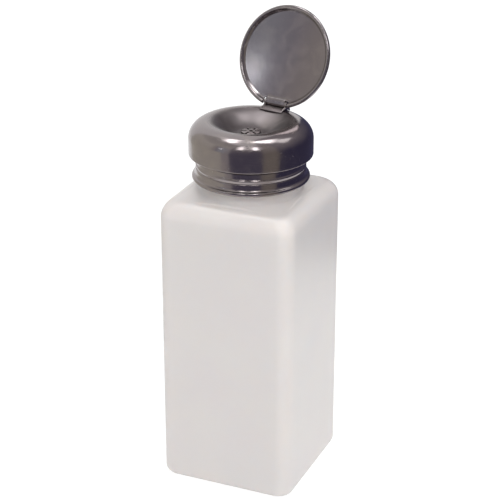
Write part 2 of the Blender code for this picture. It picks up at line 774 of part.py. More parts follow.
def head_outline():
    """The whole head's outer face, from the dish over the ridge and down to the lip."""
    lip_centre = (HEAD_RADIUS - LIP_ROUND, HEAD_LIP_Z + LIP_ROUND)
    round_centre = (RIDGE_RADIUS, HEAD_SPRING_Z)
    points = dish_outline()
    points += arc(round_centre, (HEAD_ROUND_WIDTH, HEAD_ROUND_HEIGHT), 90, 0, HEAD_ROUND_STEPS)
    points += arc(lip_centre, (LIP_ROUND, LIP_ROUND), 0, -60, 2)
    return points


def make_head_shell(parent):
    """The spun steel head: straight skirt, full round shoulder and dished top in one sheet."""
    outline = head_outline()
    mesh = bpy.data.meshes.new("head_shell")
    edges = [(index, index + 1) for index in range(len(outline) - 1)]
    mesh.from_pydata([(radius, 0, height) for radius, height in outline], edges, [])
    made = add_object("head_shell", mesh, parent)
    screw(made, FINE_STEPS)
    skin = made.modifiers.new("Sheet", "SOLIDIFY")
    skin.thickness = STEEL_SHEET
    skin.offset = -1
    skin.use_even_offset = True
    settle(made)
    paint(made, STEEL)


def make_rosette(parent):
    """The outlet button in the dish: a spigot down into the stem and a ring of slots."""
    top = ROSETTE_Z + ROSETTE_THICKNESS
    outline = [
        (ROSETTE_BORE_RADIUS, top),
        (ROSETTE_RADIUS - SEAT_GAP, top),
        (ROSETTE_RADIUS, top - SEAT_GAP),
        (ROSETTE_RADIUS, ROSETTE_Z),
        (SPIGOT_RADIUS, ROSETTE_Z),
        (SPIGOT_RADIUS, SPIGOT_END_Z),
        (ROSETTE_BORE_RADIUS, SPIGOT_END_Z),
    ]
    made = turned("outlet_rosette", outline, SMALL_STEPS + 12, parent)
    half = ROSETTE_SLOT_WIDTH / 2
    low = (ROSETTE_SLOT_START, -half, ROSETTE_Z + ROSETTE_THICKNESS / 3)
    high = (ROSETTE_RADIUS + CUT_OVERRUN, half, top + CUT_OVERRUN)
    for slot in range(ROSETTE_SLOTS):
        matrix = Matrix.Rotation(math.tau * (slot + 1 / 2) / ROSETTE_SLOTS, 4, "Z")
        boolean(made, box_cutter(f"rosette_slot_{slot + 1}", low, high, parent, matrix))
    paint(made, STEEL)


def head_clearance(parent):
    """A hidden solid just larger than the head, to cut the bracket's seat with."""
    gap = SEAT_GAP
    radii = (HEAD_ROUND_WIDTH + gap, HEAD_ROUND_HEIGHT + gap)
    outline = [(radius, height + gap) for radius, height in dish_outline()]
    outline += arc((RIDGE_RADIUS, HEAD_SPRING_Z), radii, 90, 0, 3 * HEAD_ROUND_STEPS)
    outline.append((HEAD_RADIUS + gap, HEAD_LIP_Z))
    outline.append((SPIGOT_RADIUS + SIDE_GAP, HEAD_LIP_Z))
    mesh = bpy.data.meshes.new("head_clearance")
    edges = [(index, (index + 1) % len(outline)) for index in range(len(outline))]
    mesh.from_pydata([(radius, 0, height) for radius, height in outline], edges, [])
    made = hide_cutter("head_clearance", mesh, parent)
    screw(made, FINE_STEPS)
    return made


def extruded(name, outline, half_width, parent=None):
    """A solid whose side outline of (Y, Z) pairs runs across the given half width each way."""
    if signed_area(outline) < 0:
        outline = outline[::-1]
    work = bmesh.new()
    face = work.faces.new([work.verts.new((-half_width, y, z)) for y, z in outline])
    swept = bmesh.ops.extrude_face_region(work, geom=[face])
    moved = [item for item in swept["geom"] if isinstance(item, bmesh.types.BMVert)]
    bmesh.ops.translate(work, vec=(2 * half_width, 0, 0), verts=moved)
    bmesh.ops.recalc_face_normals(work, faces=work.faces)
    mesh = bpy.data.meshes.new(name)
    work.to_mesh(mesh)
    work.free()
    return add_object(name, mesh, parent)


def make_bracket(parent):
    """The lid's bracket: two ears with raised rear corners on a sole that slopes into the dish."""
    toe = HINGE_DISTANCE - BRACKET_FRONT
    heel = HINGE_DISTANCE + BRACKET_BACK
    front = HINGE_DISTANCE - EAR_RADIUS
    back = HINGE_DISTANCE + EAR_RADIUS
    under_lid = lid_floor(HINGE_DISTANCE - NOTCH_REACH) - LID_SHEET / 2 - SIDE_GAP
    lean = math.radians(LID_OPEN_DEG - 90)
    behind = lid_back_offset() + LID_REST_GAP
    height = NOTCH_REACH + SIDE_GAP
    stop = (
        HINGE_DISTANCE + behind * math.cos(lean) + height * math.sin(lean),
        PIN_Z - behind * math.sin(lean) + height * math.cos(lean),
    )
    sole = head_surface(math.hypot(heel, EAR_OUTSIDE)) - BRACKET_SOLE
    outline = [(toe, sole), (toe, RIDGE_Z), (front, under_lid)]
    outline += arc((HINGE_DISTANCE, PIN_Z), (EAR_RADIUS, EAR_RADIUS), 180, 85, 6)
    outline += [stop, (back, stop[1] - SEAT_GAP)]
    outline += [(heel, head_surface(heel) + BRACKET_SOLE), (heel, sole)]
    made = extruded("hinge_bracket", outline, EAR_OUTSIDE, parent)
    boolean(made, head_clearance(parent))
    inside = KNUCKLE_RADIUS + SIDE_GAP
    low = (-EAR_INSIDE, toe - CUT_OVERRUN, PIN_Z - KNUCKLE_RADIUS - SEAT_GAP)
    high = (EAR_INSIDE, HINGE_DISTANCE + inside, PIN_Z + CUT_OVERRUN)
    boolean(made, box_cutter("bracket_channel", low, high, parent))
    across = Matrix.Translation((0, HINGE_DISTANCE, PIN_Z)) @ Matrix.Rotation(math.pi / 2, 4, "Y")
    hole = PIN_RADIUS + RUNNING_GAP
    length = 2 * (EAR_OUTSIDE + CUT_OVERRUN)
    boolean(made, rod_cutter("bracket_pin_hole", hole, length, across, SMALL_STEPS // 2, parent))
    paint(made, STEEL)


def make_pin(parent):
    """The hinge pin, headed at both ends outside the ears."""
    inner = EAR_OUTSIDE + SEAT_GAP
    outer = inner + PIN_HEAD_THICKNESS
    edge = PIN_HEAD_THICKNESS / 3
    profile = [
        (0, outer),
        (PIN_HEAD_RADIUS - edge, outer),
        (PIN_HEAD_RADIUS, outer - edge),
        (PIN_HEAD_RADIUS, inner),
        (PIN_RADIUS, inner),
    ]
    profile += [(radius, -height) for radius, height in reversed(profile)]
    mesh = bpy.data.meshes.new("hinge_pin")
    edges = [(index, index + 1) for index in range(len(profile) - 1)]
    mesh.from_pydata([(radius, 0, height) for radius, height in profile], edges, [])
    made = add_object("hinge_pin", mesh, parent)
    screw(made, SMALL_STEPS // 2 + 4)
    settle(made)
    made.location = (0, HINGE_DISTANCE, PIN_Z)
    made.rotation_euler = (0, math.pi / 2, 0)
    paint(made, BALL_STEEL)


def lid_back_offset():
    """How far the lid's outer face at the notch lies from the pin's axis, towards the back."""
    return lid_floor(HINGE_DISTANCE - NOTCH_REACH) + LID_SHEET / 2 - PIN_Z


def lid_outline():
    """Section of the closed lid from its middle to its bead, as (radius, height) pairs."""
    bead = (LID_RADIUS - LID_BEAD_RADIUS, RIM_Z)
    edge = LID_RADIUS - 2 * LID_BEAD_RADIUS
    places_share = (0, 0.4, 0.75, 0.96)
    half = LID_SHEET / 2
    top = [(edge * share, lid_floor(edge * share) + half) for share in places_share]
    under = [(edge * share, lid_floor(edge * share) - half) for share in reversed(places_share)]
    rolled = arc(bead, (LID_BEAD_RADIUS, LID_BEAD_RADIUS), 105, -165, 9)
    return top + rolled + under


def tongue_path():
    """Middle line of the tongue's sheet, from inside the lid's floor round the pin."""
    root = HINGE_DISTANCE - TONGUE_ROOT
    bend = HINGE_DISTANCE - TONGUE_BEND
    low = PIN_Z - KNUCKLE_MEAN_RADIUS
    halfway = (root + bend) / 2
    path = [
        (root, lid_floor(root)),
        (halfway, (lid_floor(root) + low) / 2),
        (bend, low),
    ]
    radii = (KNUCKLE_MEAN_RADIUS, KNUCKLE_MEAN_RADIUS)
    path += arc((HINGE_DISTANCE, PIN_Z), radii, -90, -90 + KNUCKLE_TURN_DEG, 12)
    return path


def make_lid(parent):
    """The lid: a crowned pan with a rolled rim, notched for the bracket, and its tongue."""
    outline = lid_outline()
    mesh = bpy.data.meshes.new("lid")
    edges = [(index, index + 1) for index in range(len(outline) - 1)]
    mesh.from_pydata([(radius, 0, height) for radius, height in outline], edges, [])
    made = add_object("lid", mesh, parent)
    screw(made, FINE_STEPS)
    settle(made)
    low = (-NOTCH_HALF_WIDTH, HINGE_DISTANCE - NOTCH_REACH, RIM_Z - CUT_OVERRUN)
    high = (NOTCH_HALF_WIDTH, LID_RADIUS + CUT_OVERRUN, PIN_Z + CUT_OVERRUN)
    boolean(made, box_cutter("lid_notch", low, high, parent))
    half = TONGUE_WIDTH / 2
    work = bmesh.new()
    rows = [
        [work.verts.new((side * half, y, z)) for side in (-1, 1)]
        for y, z in tongue_path()
    ]
    for first, second in zip(rows, rows[1:]):
        work.faces.new((first[0], first[1], second[1], second[0]))
    sheet = bpy.data.meshes.new("lid_tongue")
    work.to_mesh(sheet)
    work.free()
    tongue = hide_cutter("lid_tongue", sheet, parent)
    skin = tongue.modifiers.new("Sheet", "SOLIDIFY")
    skin.thickness = TONGUE_SHEET
    skin.offset = 0
    skin.use_even_offset = True
    boolean(made, tongue, "UNION")
    shift = Matrix.Translation((0, -HINGE_DISTANCE, -PIN_Z))
    for piece in (made, tongue, bpy.data.objects["lid_notch"]):
        piece.data.transform(shift)
    paint(made, STEEL)


def main():
    """Builds the bottle, the closure, the pump, the head and the lid."""
    make_bottle()
    make_gasket()
    make_collar()
    make_liner()
    socket_top = make_barrel()
    make_dip_tube(socket_top)
    make_retainer()
    make_ball("inlet_ball", INLET_BALL_RADIUS, INLET_BALL_Z)
    make_spring()
    make_bushing()
    make_stem_seal()
    make_piston()
    head = add_empty("head_axis", rotation=(0, 0, -math.radians(HEAD_TURN_DEG)))
    make_stem(head)
    make_ball("outlet_ball", OUTLET_BALL_RADIUS, OUTLET_BALL_Z, head)
    make_dish_washer(head)
    make_head_shell(head)
    make_rosette(head)
    make_bracket(head)
    make_pin(head)
    hinge = add_empty(
        "lid_hinge_axis",
        (0, HINGE_DISTANCE, PIN_Z),
        (-math.radians(LID_OPEN_DEG), 0, 0),
        head,
    )
    make_lid(hinge)
    bpy.context.view_layer.update()


clear_scene()
PARTS = new_collection(PART_NAME)
CUTTERS = new_collection("cutters")
NATURAL_PLASTIC = material("natural_plastic", (0.84, 0.83, 0.81), 0.35, 0.0)
CLEAR_PLASTIC = material("clear_plastic", (0.80, 0.80, 0.78), 0.30, 0.0)
BLACK_PLASTIC = material("black_plastic", (0.05, 0.05, 0.05), 0.5, 0.0)
FOAM = material("foam", (0.75, 0.74, 0.70), 0.9, 0.0)
STEEL = material("steel", (0.34, 0.31, 0.31), 0.22, 1.0)
BALL_STEEL = material("ball_steel", (0.62, 0.61, 0.60), 0.15, 1.0)
main()
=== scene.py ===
"""Looks of a square solvent bottle with a press-down steel pump head and a hinged round lid.

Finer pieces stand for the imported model's shells that show; what lies inside keeps its solids.
"""

import functools
import json
import logging
import math
from collections.abc import Mapping, Sequence
from dataclasses import dataclass
from enum import Enum

import bmesh
import bpy
from bpy.types import ID, Material, Mesh, Node, NodeSocket, Object, World
from mathutils import Euler, Matrix, Vector


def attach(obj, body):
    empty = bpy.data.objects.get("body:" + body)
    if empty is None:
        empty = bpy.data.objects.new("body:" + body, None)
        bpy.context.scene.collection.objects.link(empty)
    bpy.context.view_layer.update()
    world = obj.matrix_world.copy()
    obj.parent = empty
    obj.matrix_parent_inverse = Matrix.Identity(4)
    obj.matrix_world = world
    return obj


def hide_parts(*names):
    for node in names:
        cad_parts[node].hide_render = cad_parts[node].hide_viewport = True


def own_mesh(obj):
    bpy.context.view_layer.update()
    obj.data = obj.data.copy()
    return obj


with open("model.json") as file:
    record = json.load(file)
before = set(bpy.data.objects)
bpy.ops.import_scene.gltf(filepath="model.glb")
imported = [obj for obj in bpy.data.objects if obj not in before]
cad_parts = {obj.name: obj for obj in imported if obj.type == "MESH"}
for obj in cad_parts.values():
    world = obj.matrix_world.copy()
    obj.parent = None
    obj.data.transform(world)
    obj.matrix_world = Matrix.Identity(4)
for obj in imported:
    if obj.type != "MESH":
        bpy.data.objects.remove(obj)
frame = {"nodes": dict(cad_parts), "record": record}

MM = 0.001
OVERRUN = 6.0 * MM
SHARP = math.radians(35.0)
SEEN_BY = ("Camera", "Glossy", "Transmission")
LOG = logging.getLogger("pump_bottle")

Colour = tuple[float, float, float]
Point = tuple[float, float]


class Body(Enum):
    """The moving bodies that a piece can ride on."""

    BOTTLE = "bottle"
    PUMP = "pump"
    COLLAR = "collar"
    HEAD = "head"
    LID = "lid"


class Slot(Enum):
    """The record's material slots."""

    BOTTLE = "bottle_plastic"
    INNER = "inner_plastic"
    SEAL = "dark_plastic"
    LINER = "liner_plastic"
    FOAM = "foam"
    STEEL = "steel"
    BRIGHT = "bright_steel"


# Shader maths


@dataclass(frozen=True)
class Channel:
    """A shader socket that Python's operators work on by adding Math nodes."""

    graph: "Graph"
    socket: NodeSocket

    def _math(self, operation: str, first: "Value", second: "Value") -> "Channel":
        """The result of a new Math node on two values or links."""
        return self.graph.read(0, "ShaderNodeMath", {0: first, 1: second}, operation=operation)

    def __add__(self, other: "Value") -> "Channel":
        """Sum."""
        return self._math("ADD", self, other)

    __radd__ = __add__

    def __sub__(self, other: "Value") -> "Channel":
        """Difference."""
        return self._math("SUBTRACT", self, other)

    def __rsub__(self, other: "Value") -> "Channel":
        """Difference, with the number first."""
        return self._math("SUBTRACT", other, self)

    def __mul__(self, other: "Value") -> "Channel":
        """Product."""
        return self._math("MULTIPLY", self, other)

    __rmul__ = __mul__

    def __pow__(self, other: "Value") -> "Channel":
        """Power."""
        return self._math("POWER", self, other)

    def most(self, other: "Value") -> "Channel":
        """The larger of two values."""
        return self._math("MAXIMUM", self, other)


Value = Channel | float


@dataclass(frozen=True)
class Graph:
    """A material's or the world's nodes, written from Python expressions."""

    owner: Material | World

    def __post_init__(self) -> None:
        """Starts an empty graph."""
        self.owner.use_nodes = True
        self.owner.node_tree.nodes.clear()

    def node(
        self, kind: str, inputs: Mapping[int | str, object] | None = None, **settings: object
    ) -> Node:
        """Adds any node.

        Args:
            kind: The node's type.
            inputs: Socket names or numbers, each with a value or a link.
            **settings: What is set on it first.

        Returns:
            The new node.
        """
        tree = self.owner.node_tree
        made = tree.nodes.new(kind)
        for name, value in settings.items():
            setattr(made, name, value)
        for name, value in (inputs or {}).items():
            if isinstance(value, Channel):
                tree.links.new(value.socket, made.inputs[name])
            else:
                made.inputs[name].default_value = value
        return made

    def read(self, output: int | str, *given: object, **settings: object) -> Channel:
        """One output of a new node, which is given as in node()."""
        return Channel(self, self.node(*given, **settings).outputs[output])

    def position(self, turn: Colour = (0.0, 0.0, 0.0), shift: Colour = (0.0, 0.0, 0.0)) -> Channel:
        """The place on the piece in its own coordinates, turned by radians and then shifted."""
        place = self.read("Object", "ShaderNodeTexCoord")
        return self.read(0, "ShaderNodeMapping", {"Vector": place, "Rotation": turn, "Location": shift})

    def split(self, vector: Channel) -> tuple[Channel, Channel, Channel]:
        """The X, Y and Z of a vector."""
        node = self.node("ShaderNodeSeparateXYZ", {0: vector})
        return tuple(Channel(self, output) for output in node.outputs)

    def join(self, x: Value, y: Value, z: Value) -> Channel:
        """The vector of an X, a Y and a Z."""
        return self.read(0, "ShaderNodeCombineXYZ", {0: x, 1: y, 2: z})

    def noise(self, place: Channel, size: float, detail: float = 2.0, warp: float = 0.0) -> Channel:
        """Smooth noise from 0 to 1, in patches about as wide as the size."""
        inputs = {"Vector": place, "Scale": 1 / size, "Detail": detail, "Distortion": warp}
        return self.read(0, "ShaderNodeTexNoise", inputs)

    def step(self, value: Channel, low: float, high: float) -> Channel:
        """A smooth rise from 0 where a value is low to 1 where it is high."""
        inputs = {"Value": value, "From Min": low, "From Max": high}
        return self.read(0, "ShaderNodeMapRange", inputs, interpolation_type="SMOOTHSTEP")

    def blend(self, share: Value, first: Channel | Colour, second: Channel | Colour) -> Channel:
        """The first colour at a share of 0, turned into the second at 1."""
        first, second = ((*c, 1.0) if isinstance(c, tuple) else c for c in (first, second))
        return self.read(2, "ShaderNodeMix", {0: share, 6: first, 7: second}, data_type="RGBA")

    def bump(self, height: Channel, depth: float) -> Channel:
        """The normal of relief that only the light shows, where a height of 1 is the depth."""
        inputs = {"Strength": 1.0, "Distance": depth, "Height": height}
        return self.read(0, "ShaderNodeBump", inputs)

    def seen(self) -> Channel:
        """1 where the camera looks, straight, by a reflection or through something clear."""
        path = (self.read(f"Is {kind} Ray", "ShaderNodeLightPath") for kind in SEEN_BY)
        return functools.reduce(Channel.most, path)

    def end(self, shader: Channel) -> Material | World:
        """Ends the graph in a shader, and gives the material or world that it belongs to."""
        self.node(f"ShaderNodeOutput{type(self.owner).__name__}", {0: shader})
        return self.owner

    def surface(self, inputs: Mapping[str, object]) -> Material:
        """Ends a material in one Principled shader with these values and links."""
        return self.end(self.read(0, "ShaderNodeBsdfPrincipled", inputs))


# Finishes


@dataclass(frozen=True)
class SpunSteel:
    """Polished steel with the fine rings that spinning leaves, a little smudged by hands."""

    name: str
    colour: Colour = (0.275, 0.245, 0.250)
    worn: Colour = (0.305, 0.270, 0.262)
    roughness: float = 0.13
    smudge: float = 0.07
    smudge_size: float = 7.0 * MM
    smudge_edges: Point = (0.42, 0.68)
    smudge_share: float = 0.7
    specks: float = 1.0
    speck_size: float = 0.6 * MM
    speck_edges: Point = (0.66, 0.78)
    speck_share: float = 0.35
    speck_shade: float = 0.55
    speck_matt: float = 0.08
    ring_pitch: float = 0.35 * MM
    ring_depth: float = 0.004 * MM
    ring_matt: float = 0.06
    broad_pitch: float = 2.1 * MM
    dent_size: float = 9.0 * MM
    dent_depth: float = 0.012 * MM
    anisotropy: float = 0.2
    scuffed: Point = (13.2 * MM, 16.5 * MM)
    scuffs: float = 0.0
    patch_size: float = 9.8 * MM
    patch_edges: Point = (0.3, 0.7)
    # Painted shade in the dish: darkened inside the inner radii, more in blotches, to dull its
    # reflections.
    tarnish: Point = (0.0, 0.0)
    tarnish_shade: float = 0.5
    # Painted reflection: the dish shade is left off round this spot, so a lighter patch stands for a
    # reflection.
    wiped: Point = (0.0, 0.0)
    wiped_edges: Point = (0.0, 0.0)
    wiped_rag: float = 2.7 * MM
    # Painted shade: below the button's top face, in its slots and down its sides, the colour is
    # darkened.
    grime: Colour = (0.02, 0.018, 0.018)
    grime_top: float = 0.0
    grime_fade: float = 0.2 * MM
    grime_cover: float = 0.9
    grime_matt: float = 0.3
    turn: Colour = (0.0, 0.0, 0.0)
    shift: Colour = (0.0, 0.0, 0.0)

    def build(self) -> Material:
        """Makes the finish.

        Returns:
            Its material.
        """
        graph = Graph(bpy.data.materials.new(self.name))
        place = graph.position(self.turn, self.shift)
        x, y, z = graph.split(place)
        radius = (x * x + y * y) ** 0.5
        spun = graph.join(radius, z, 0.0)
        rings = graph.noise(spun, self.ring_pitch, detail=3.0)
        broad = graph.noise(spun, self.broad_pitch)
        hands = graph.noise(place, self.smudge_size, detail=4.0, warp=0.6)
        hands = graph.step(hands, *self.smudge_edges)
        specks = graph.step(graph.noise(place, self.speck_size), *self.speck_edges) * self.specks
        wear = hands * self.smudge_share + broad * (1 - self.smudge_share)
        tone = graph.blend(wear, self.colour, self.worn)
        shade = tuple(c * self.speck_shade for c in self.colour)
        tone = graph.blend(specks * self.speck_share, tone, shade)
        inward = 1.0 - graph.step(radius, *self.scuffed)
        rough = self.roughness + rings * self.ring_matt + hands * self.smudge
        rough = rough + specks * self.speck_matt + inward * self.scuffs
        patches = graph.noise(place, self.patch_size, warp=0.4)
        patches = graph.step(patches, *self.patch_edges)
        # Painted shade that dulls the dish's reflections, deeper in blotches.
        dish_shade = inward * self.tarnish[0] + inward * patches * self.tarnish[1]
        # Painted reflection: a lighter patch where the dish shade is left off round a spot.
        if any(self.wiped_edges):
            across, back = x - self.wiped[0], y - self.wiped[1]
            away = (across * across + back * back) ** 0.5 + patches * self.wiped_rag
            dish_shade = dish_shade * graph.step(away, *self.wiped_edges)
        tone = graph.blend(dish_shade, tone, tuple(c * self.tarnish_shade for c in self.colour))
        # Painted shade in the button's slots and below its top face.
        if self.grime_top:
            painted_shade_share = 1.0 - graph.step(z, self.grime_top - self.grime_fade, self.grime_top)
            tone = graph.blend(painted_shade_share * self.grime_cover, tone, self.grime)
            rough = rough + painted_shade_share * self.grime_matt
        dents = graph.noise(place, self.dent_size, detail=1.0)
        relief = rings * (self.ring_depth / self.dent_depth) + dents
        return graph.surface({
            "Base Color": tone,
            "Metallic": 1.0,
            "Roughness": rough,
            "Anisotropic": self.anisotropy,
            "Normal": graph.bump(relief, self.dent_depth),
        })


@dataclass(frozen=True)
class MilkyPlastic:
    """Blow-moulded plastic that lets some light in, faintly mottled and softly glossy."""

    name: str
    colour: Colour = (0.868, 0.785, 0.742)
    blush: Colour = (0.848, 0.756, 0.740)
    cool: Colour = (0.800, 0.772, 0.752)
    patch: float = 22.0 * MM
    cloud_edges: Point = (0.3, 0.75)
    cloud_share: float = 0.6
    chill_edges: Point = (0.45, 0.8)
    chill_share: float = 0.4
    grains_across: int = 9
    grain_share: float = 0.3
    scuff_matt: float = 0.05
    roughness: float = 0.33
    peel_size: float = 2.2 * MM
    peel_depth: float = 0.012 * MM
    wave_size: float = 26.0 * MM
    wave_depth: float = 0.12 * MM
    clarity: float = 0.6
    depth: float = 4.5 * MM
    depth_by_colour: Colour = (1.0, 0.85, 0.75)
    sheen: float = 0.45
    sheen_roughness: float = 0.24

    def build(self) -> Material:
        """Makes the finish.

        Returns:
            Its material.
        """
        graph = Graph(bpy.data.materials.new(self.name))
        place = graph.position()
        clouds = graph.noise(place, self.patch, detail=3.0, warp=0.2)
        clouds = graph.step(clouds, *self.cloud_edges)
        grain = graph.noise(place, self.patch / self.grains_across, detail=4.0)
        chill = graph.noise(place, 2 * self.patch, warp=0.2)
        chill = graph.step(chill, *self.chill_edges)
        mottle = clouds * self.cloud_share + grain * self.grain_share
        tone = graph.blend(mottle, self.colour, self.blush)
        scuffs = graph.noise(place, self.patch / 2, detail=3.0, warp=0.3)
        peel = graph.noise(place, self.peel_size) * (self.peel_depth / self.wave_depth)
        relief = graph.noise(place, self.wave_size, detail=0.0) + peel
        return graph.surface({
            "Base Color": graph.blend(chill * self.chill_share, tone, self.cool),
            "Roughness": self.roughness + scuffs * self.scuff_matt,
            "Subsurface Weight": self.clarity,
            "Subsurface Radius": self.depth_by_colour,
            "Subsurface Scale": self.depth,
            "Coat Weight": self.sheen,
            "Coat Roughness": self.sheen_roughness,
            "Normal": graph.bump(relief, self.wave_depth),
        })


@dataclass(frozen=True)
class MouldedPlastic:
    """A plain moulded plastic or rubber with a fine skin."""

    name: str
    colour: Colour
    roughness: float
    grain_size: float = 0.5 * MM
    grain_depth: float = 0.01 * MM
    grain_gloss: float = 0.05
    flow_size: float = 4.0 * MM
    flow_shade: float = 0.88
    flow_matt: float = 0.12

    def build(self) -> Material:
        """Makes the finish.

        Returns:
            Its material.
        """
        graph = Graph(bpy.data.materials.new(self.name))
        place = graph.position()
        flow = graph.noise(place, self.flow_size, detail=4.0, warp=0.5)
        grain = graph.noise(place, self.grain_size)
        darker = tuple(c * self.flow_shade for c in self.colour)
        return graph.surface({
            "Base Color": graph.blend(flow, self.colour, darker),
            "Roughness": self.roughness + flow * self.flow_matt - grain * self.grain_gloss,
            "Normal": graph.bump(grain, self.grain_depth),
        })


@dataclass(frozen=True)
class FoamSheet:
    """Closed-cell foam: small bubbles, dull."""

    name: str
    colour: Colour = (0.75, 0.74, 0.70)
    roughness: float = 0.85
    cell: float = 0.35 * MM
    cell_depth: float = 0.07 * MM
    cell_shade: float = 0.8
    cell_matt: float = 0.1

    def build(self) -> Material:
        """Makes the finish.

        Returns:
            Its material.
        """
        graph = Graph(bpy.data.materials.new(self.name))
        cells = {"Vector": graph.position(), "Scale": 1 / self.cell}
        hollow = graph.read("Distance", "ShaderNodeTexVoronoi", cells)
        # Painted shade: the bubbles' pits, which the bump sets low, are darker.
        shade = tuple(c * self.cell_shade for c in self.colour)
        return graph.surface({
            "Base Color": graph.blend(hollow, shade, self.colour),
            "Roughness": self.roughness + hollow * self.cell_matt,
            "Normal": graph.bump(hollow, self.cell_depth),
        })


# Shapes


def around(radius: float, angle: float, height: float) -> Vector:
    """The point at a distance from the Z axis, an angle round it and a height."""
    return Vector((radius * math.cos(angle), radius * math.sin(angle), height))


def arc(centre: Point, radii: Point, start_deg: float, end_deg: float, steps: int) -> list[Point]:
    """Points of an elliptical arc, as (across, up), between angles from straight across."""
    turns = (math.radians(start_deg + (end_deg - start_deg) * k / steps) for k in range(steps + 1))
    return [(centre[0] + radii[0] * math.cos(t), centre[1] + radii[1] * math.sin(t)) for t in turns]


def other_face(points: Sequence[Point], thickness: float) -> list[Point]:
    """The far face of a sheet whose near face is a line of points.

    Args:
        points: The near face, in order.
        thickness: How far the far face lies to the right of the way along.

    Returns:
        The far face, in the same order.
    """
    made = []
    for k, (across, up) in enumerate(points):
        before, after = points[max(k - 1, 0)], points[min(k + 1, len(points) - 1)]
        along = Vector((after[0] - before[0], after[1] - before[1])).normalized()
        made.append((across + along.y * thickness, up - along.x * thickness))
    return made


def smooth(mesh: Mesh) -> None:
    """Shades a mesh smooth, apart from its sharp edges."""
    mesh.shade_smooth()
    mesh.set_sharp_from_angle(angle=SHARP)


def add_object(name: str, data: ID) -> Object:
    """Puts a new object into the scene.

    Args:
        name: The object's name.
        data: What it holds: a mesh, a curve, a lamp or a camera.

    Returns:
        The object.
    """
    made = bpy.data.objects.new(name, data)
    bpy.context.scene.collection.objects.link(made)
    return made


def finish_mesh(name: str, work: bmesh.types.BMesh) -> Object:
    """Turns mesh work into a smooth-shaded object in the scene.

    Args:
        name: The object's name.
        work: The mesh work, which is freed.

    Returns:
        The object.
    """
    bmesh.ops.recalc_face_normals(work, faces=work.faces)
    mesh = bpy.data.meshes.new(name)
    work.to_mesh(mesh)
    work.free()
    smooth(mesh)
    return add_object(name, mesh)


def skin(name: str, rows: Sequence[Sequence[Vector]], closed: bool = False) -> Object:
    """A piece whose faces join rings of points, ring to ring.

    Args:
        name: The piece's name.
        rows: The rings; a ring of one point is a pole.
        closed: Whether the last ring joins the first; else ends of more than one point get a cap.

    Returns:
        The piece.
    """
    work = bmesh.new()
    rings = [[work.verts.new(point) for point in row] for row in rows]
    pairs = list(zip(rings, rings[1:]))
    if closed:
        pairs.append((rings[-1], rings[0]))
    for low, high in pairs:
        count = max(len(low), len(high))
        for k in range(count):
            after = (k + 1) % count
            lower = [low[j % len(low)] for j in (k, after)]
            upper = [high[j % len(high)] for j in (after, k)]
            work.faces.new(dict.fromkeys(lower + upper))
    if not closed:
        for ring in (rings[0], rings[-1]):
            if len(ring) > 2:
                work.faces.new(ring)
    return finish_mesh(name, work)


def lathe(name: str, outline: Sequence[Point], steps: int, closed: bool = True) -> Object:
    """A piece turned about the Z axis.

    Args:
        name: The piece's name.
        outline: Its section, as (radius, height) pairs.
        steps: How many facets go round.
        closed: Whether the section is a loop; else it starts and ends on the axis.

    Returns:
        The piece.
    """
    turns = [math.tau * k / steps for k in range(steps)]
    rows = [[around(r, turn, up) for turn in (turns if r else turns[:1])] for r, up in outline]
    return skin(name, rows, closed)


def box(low: Point, high: Point) -> list[Point]:
    """The corners of a rectangle, from its lowest to its highest and back."""
    return [low, (high[0], low[1]), high, (low[0], high[1])]


def plate(name: str, side: Sequence[Point], half: float) -> Object:
    """A piece of one (back, up) section across X, up to half its width on each side."""
    return skin(name, [[Vector((x, back, up)) for back, up in side] for x in (-half, half)])


def evaluated(thing: Object) -> Mesh:
    """A new mesh of what an object's curve or modifiers make."""
    view = bpy.context.evaluated_depsgraph_get()
    return bpy.data.meshes.new_from_object(thing.evaluated_get(view))


def modify(piece: Object, kind: str, **settings: object) -> None:
    """Changes a piece's mesh by a modifier.

    Args:
        piece: The piece to change.
        kind: The modifier's type.
        **settings: What is set on it.
    """
    change = piece.modifiers.new(kind, kind)
    for name, value in settings.items():
        setattr(change, name, value)
    mesh = evaluated(piece)
    piece.modifiers.clear()
    piece.data = mesh
    smooth(mesh)


def carve(piece: Object, tool: Object, operation: str = "DIFFERENCE") -> None:
    """Cuts or joins a piece with a solid tool, which is then thrown away."""
    modify(piece, "BOOLEAN", operation=operation, object=tool, solver="EXACT")
    bpy.data.objects.remove(tool)


def fit(piece: Object, body: Body, slot: Slot, finish: Material, *nodes: str) -> None:
    """Dresses a piece, rides it on its body and hides the solids that it stands for.

    Args:
        piece: The piece, in place at rest.
        body: The body that it moves with.
        slot: The record's slot that its finish comes from; not used.
        finish: Its material.
        *nodes: The CAD nodes that it stands for.
    """
    piece.data.materials.clear()
    piece.data.materials.append(finish)
    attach(piece, body.value)
    if nodes:
        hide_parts(*nodes)
    LOG.info("%s rides on %s", piece.name, body.value)


@dataclass(frozen=True)
class Thread:
    """One screw-thread ridge that fades out at both ends."""

    pitch: float = 4.23 * MM
    depth: float = 0.42 * MM
    half_width: float = 0.85 * MM
    crest_share: float = 0.45
    sunk: float = 0.08 * MM
    fades_per_run: float = 12.0
    end_share: float = 0.02
    steps_per_turn: int = 96

    def build(self, name: str, wall: float, side: int, start: float, turns: float) -> Object:
        """Makes the ridge.

        Args:
            name: The piece's name.
            wall: The radius of the wall that it stands on.
            side: 1 where it stands outside the wall, -1 inside.
            start: The height of its lower end.
            turns: How far round it goes.

        Returns:
            The ridge.
        """
        steps = round(self.steps_per_turn * turns)
        foot, crest = wall - side * self.sunk, wall + side * self.depth
        rows = []
        for k in range(steps + 1):
            share = k / steps
            fade = min(1.0, min(share, 1 - share) * self.fades_per_run + self.end_share)
            top = foot + (crest - foot) * fade
            middle = start + self.pitch * turns * share
            half = self.half_width * fade
            slope = self.crest_share * half
            section = ((foot, -half), (top, -slope), (top, slope), (foot, half))
            rows.append([around(r, math.tau * turns * share, middle + up) for r, up in section])
        return skin(name, rows)


# Sub-assemblies


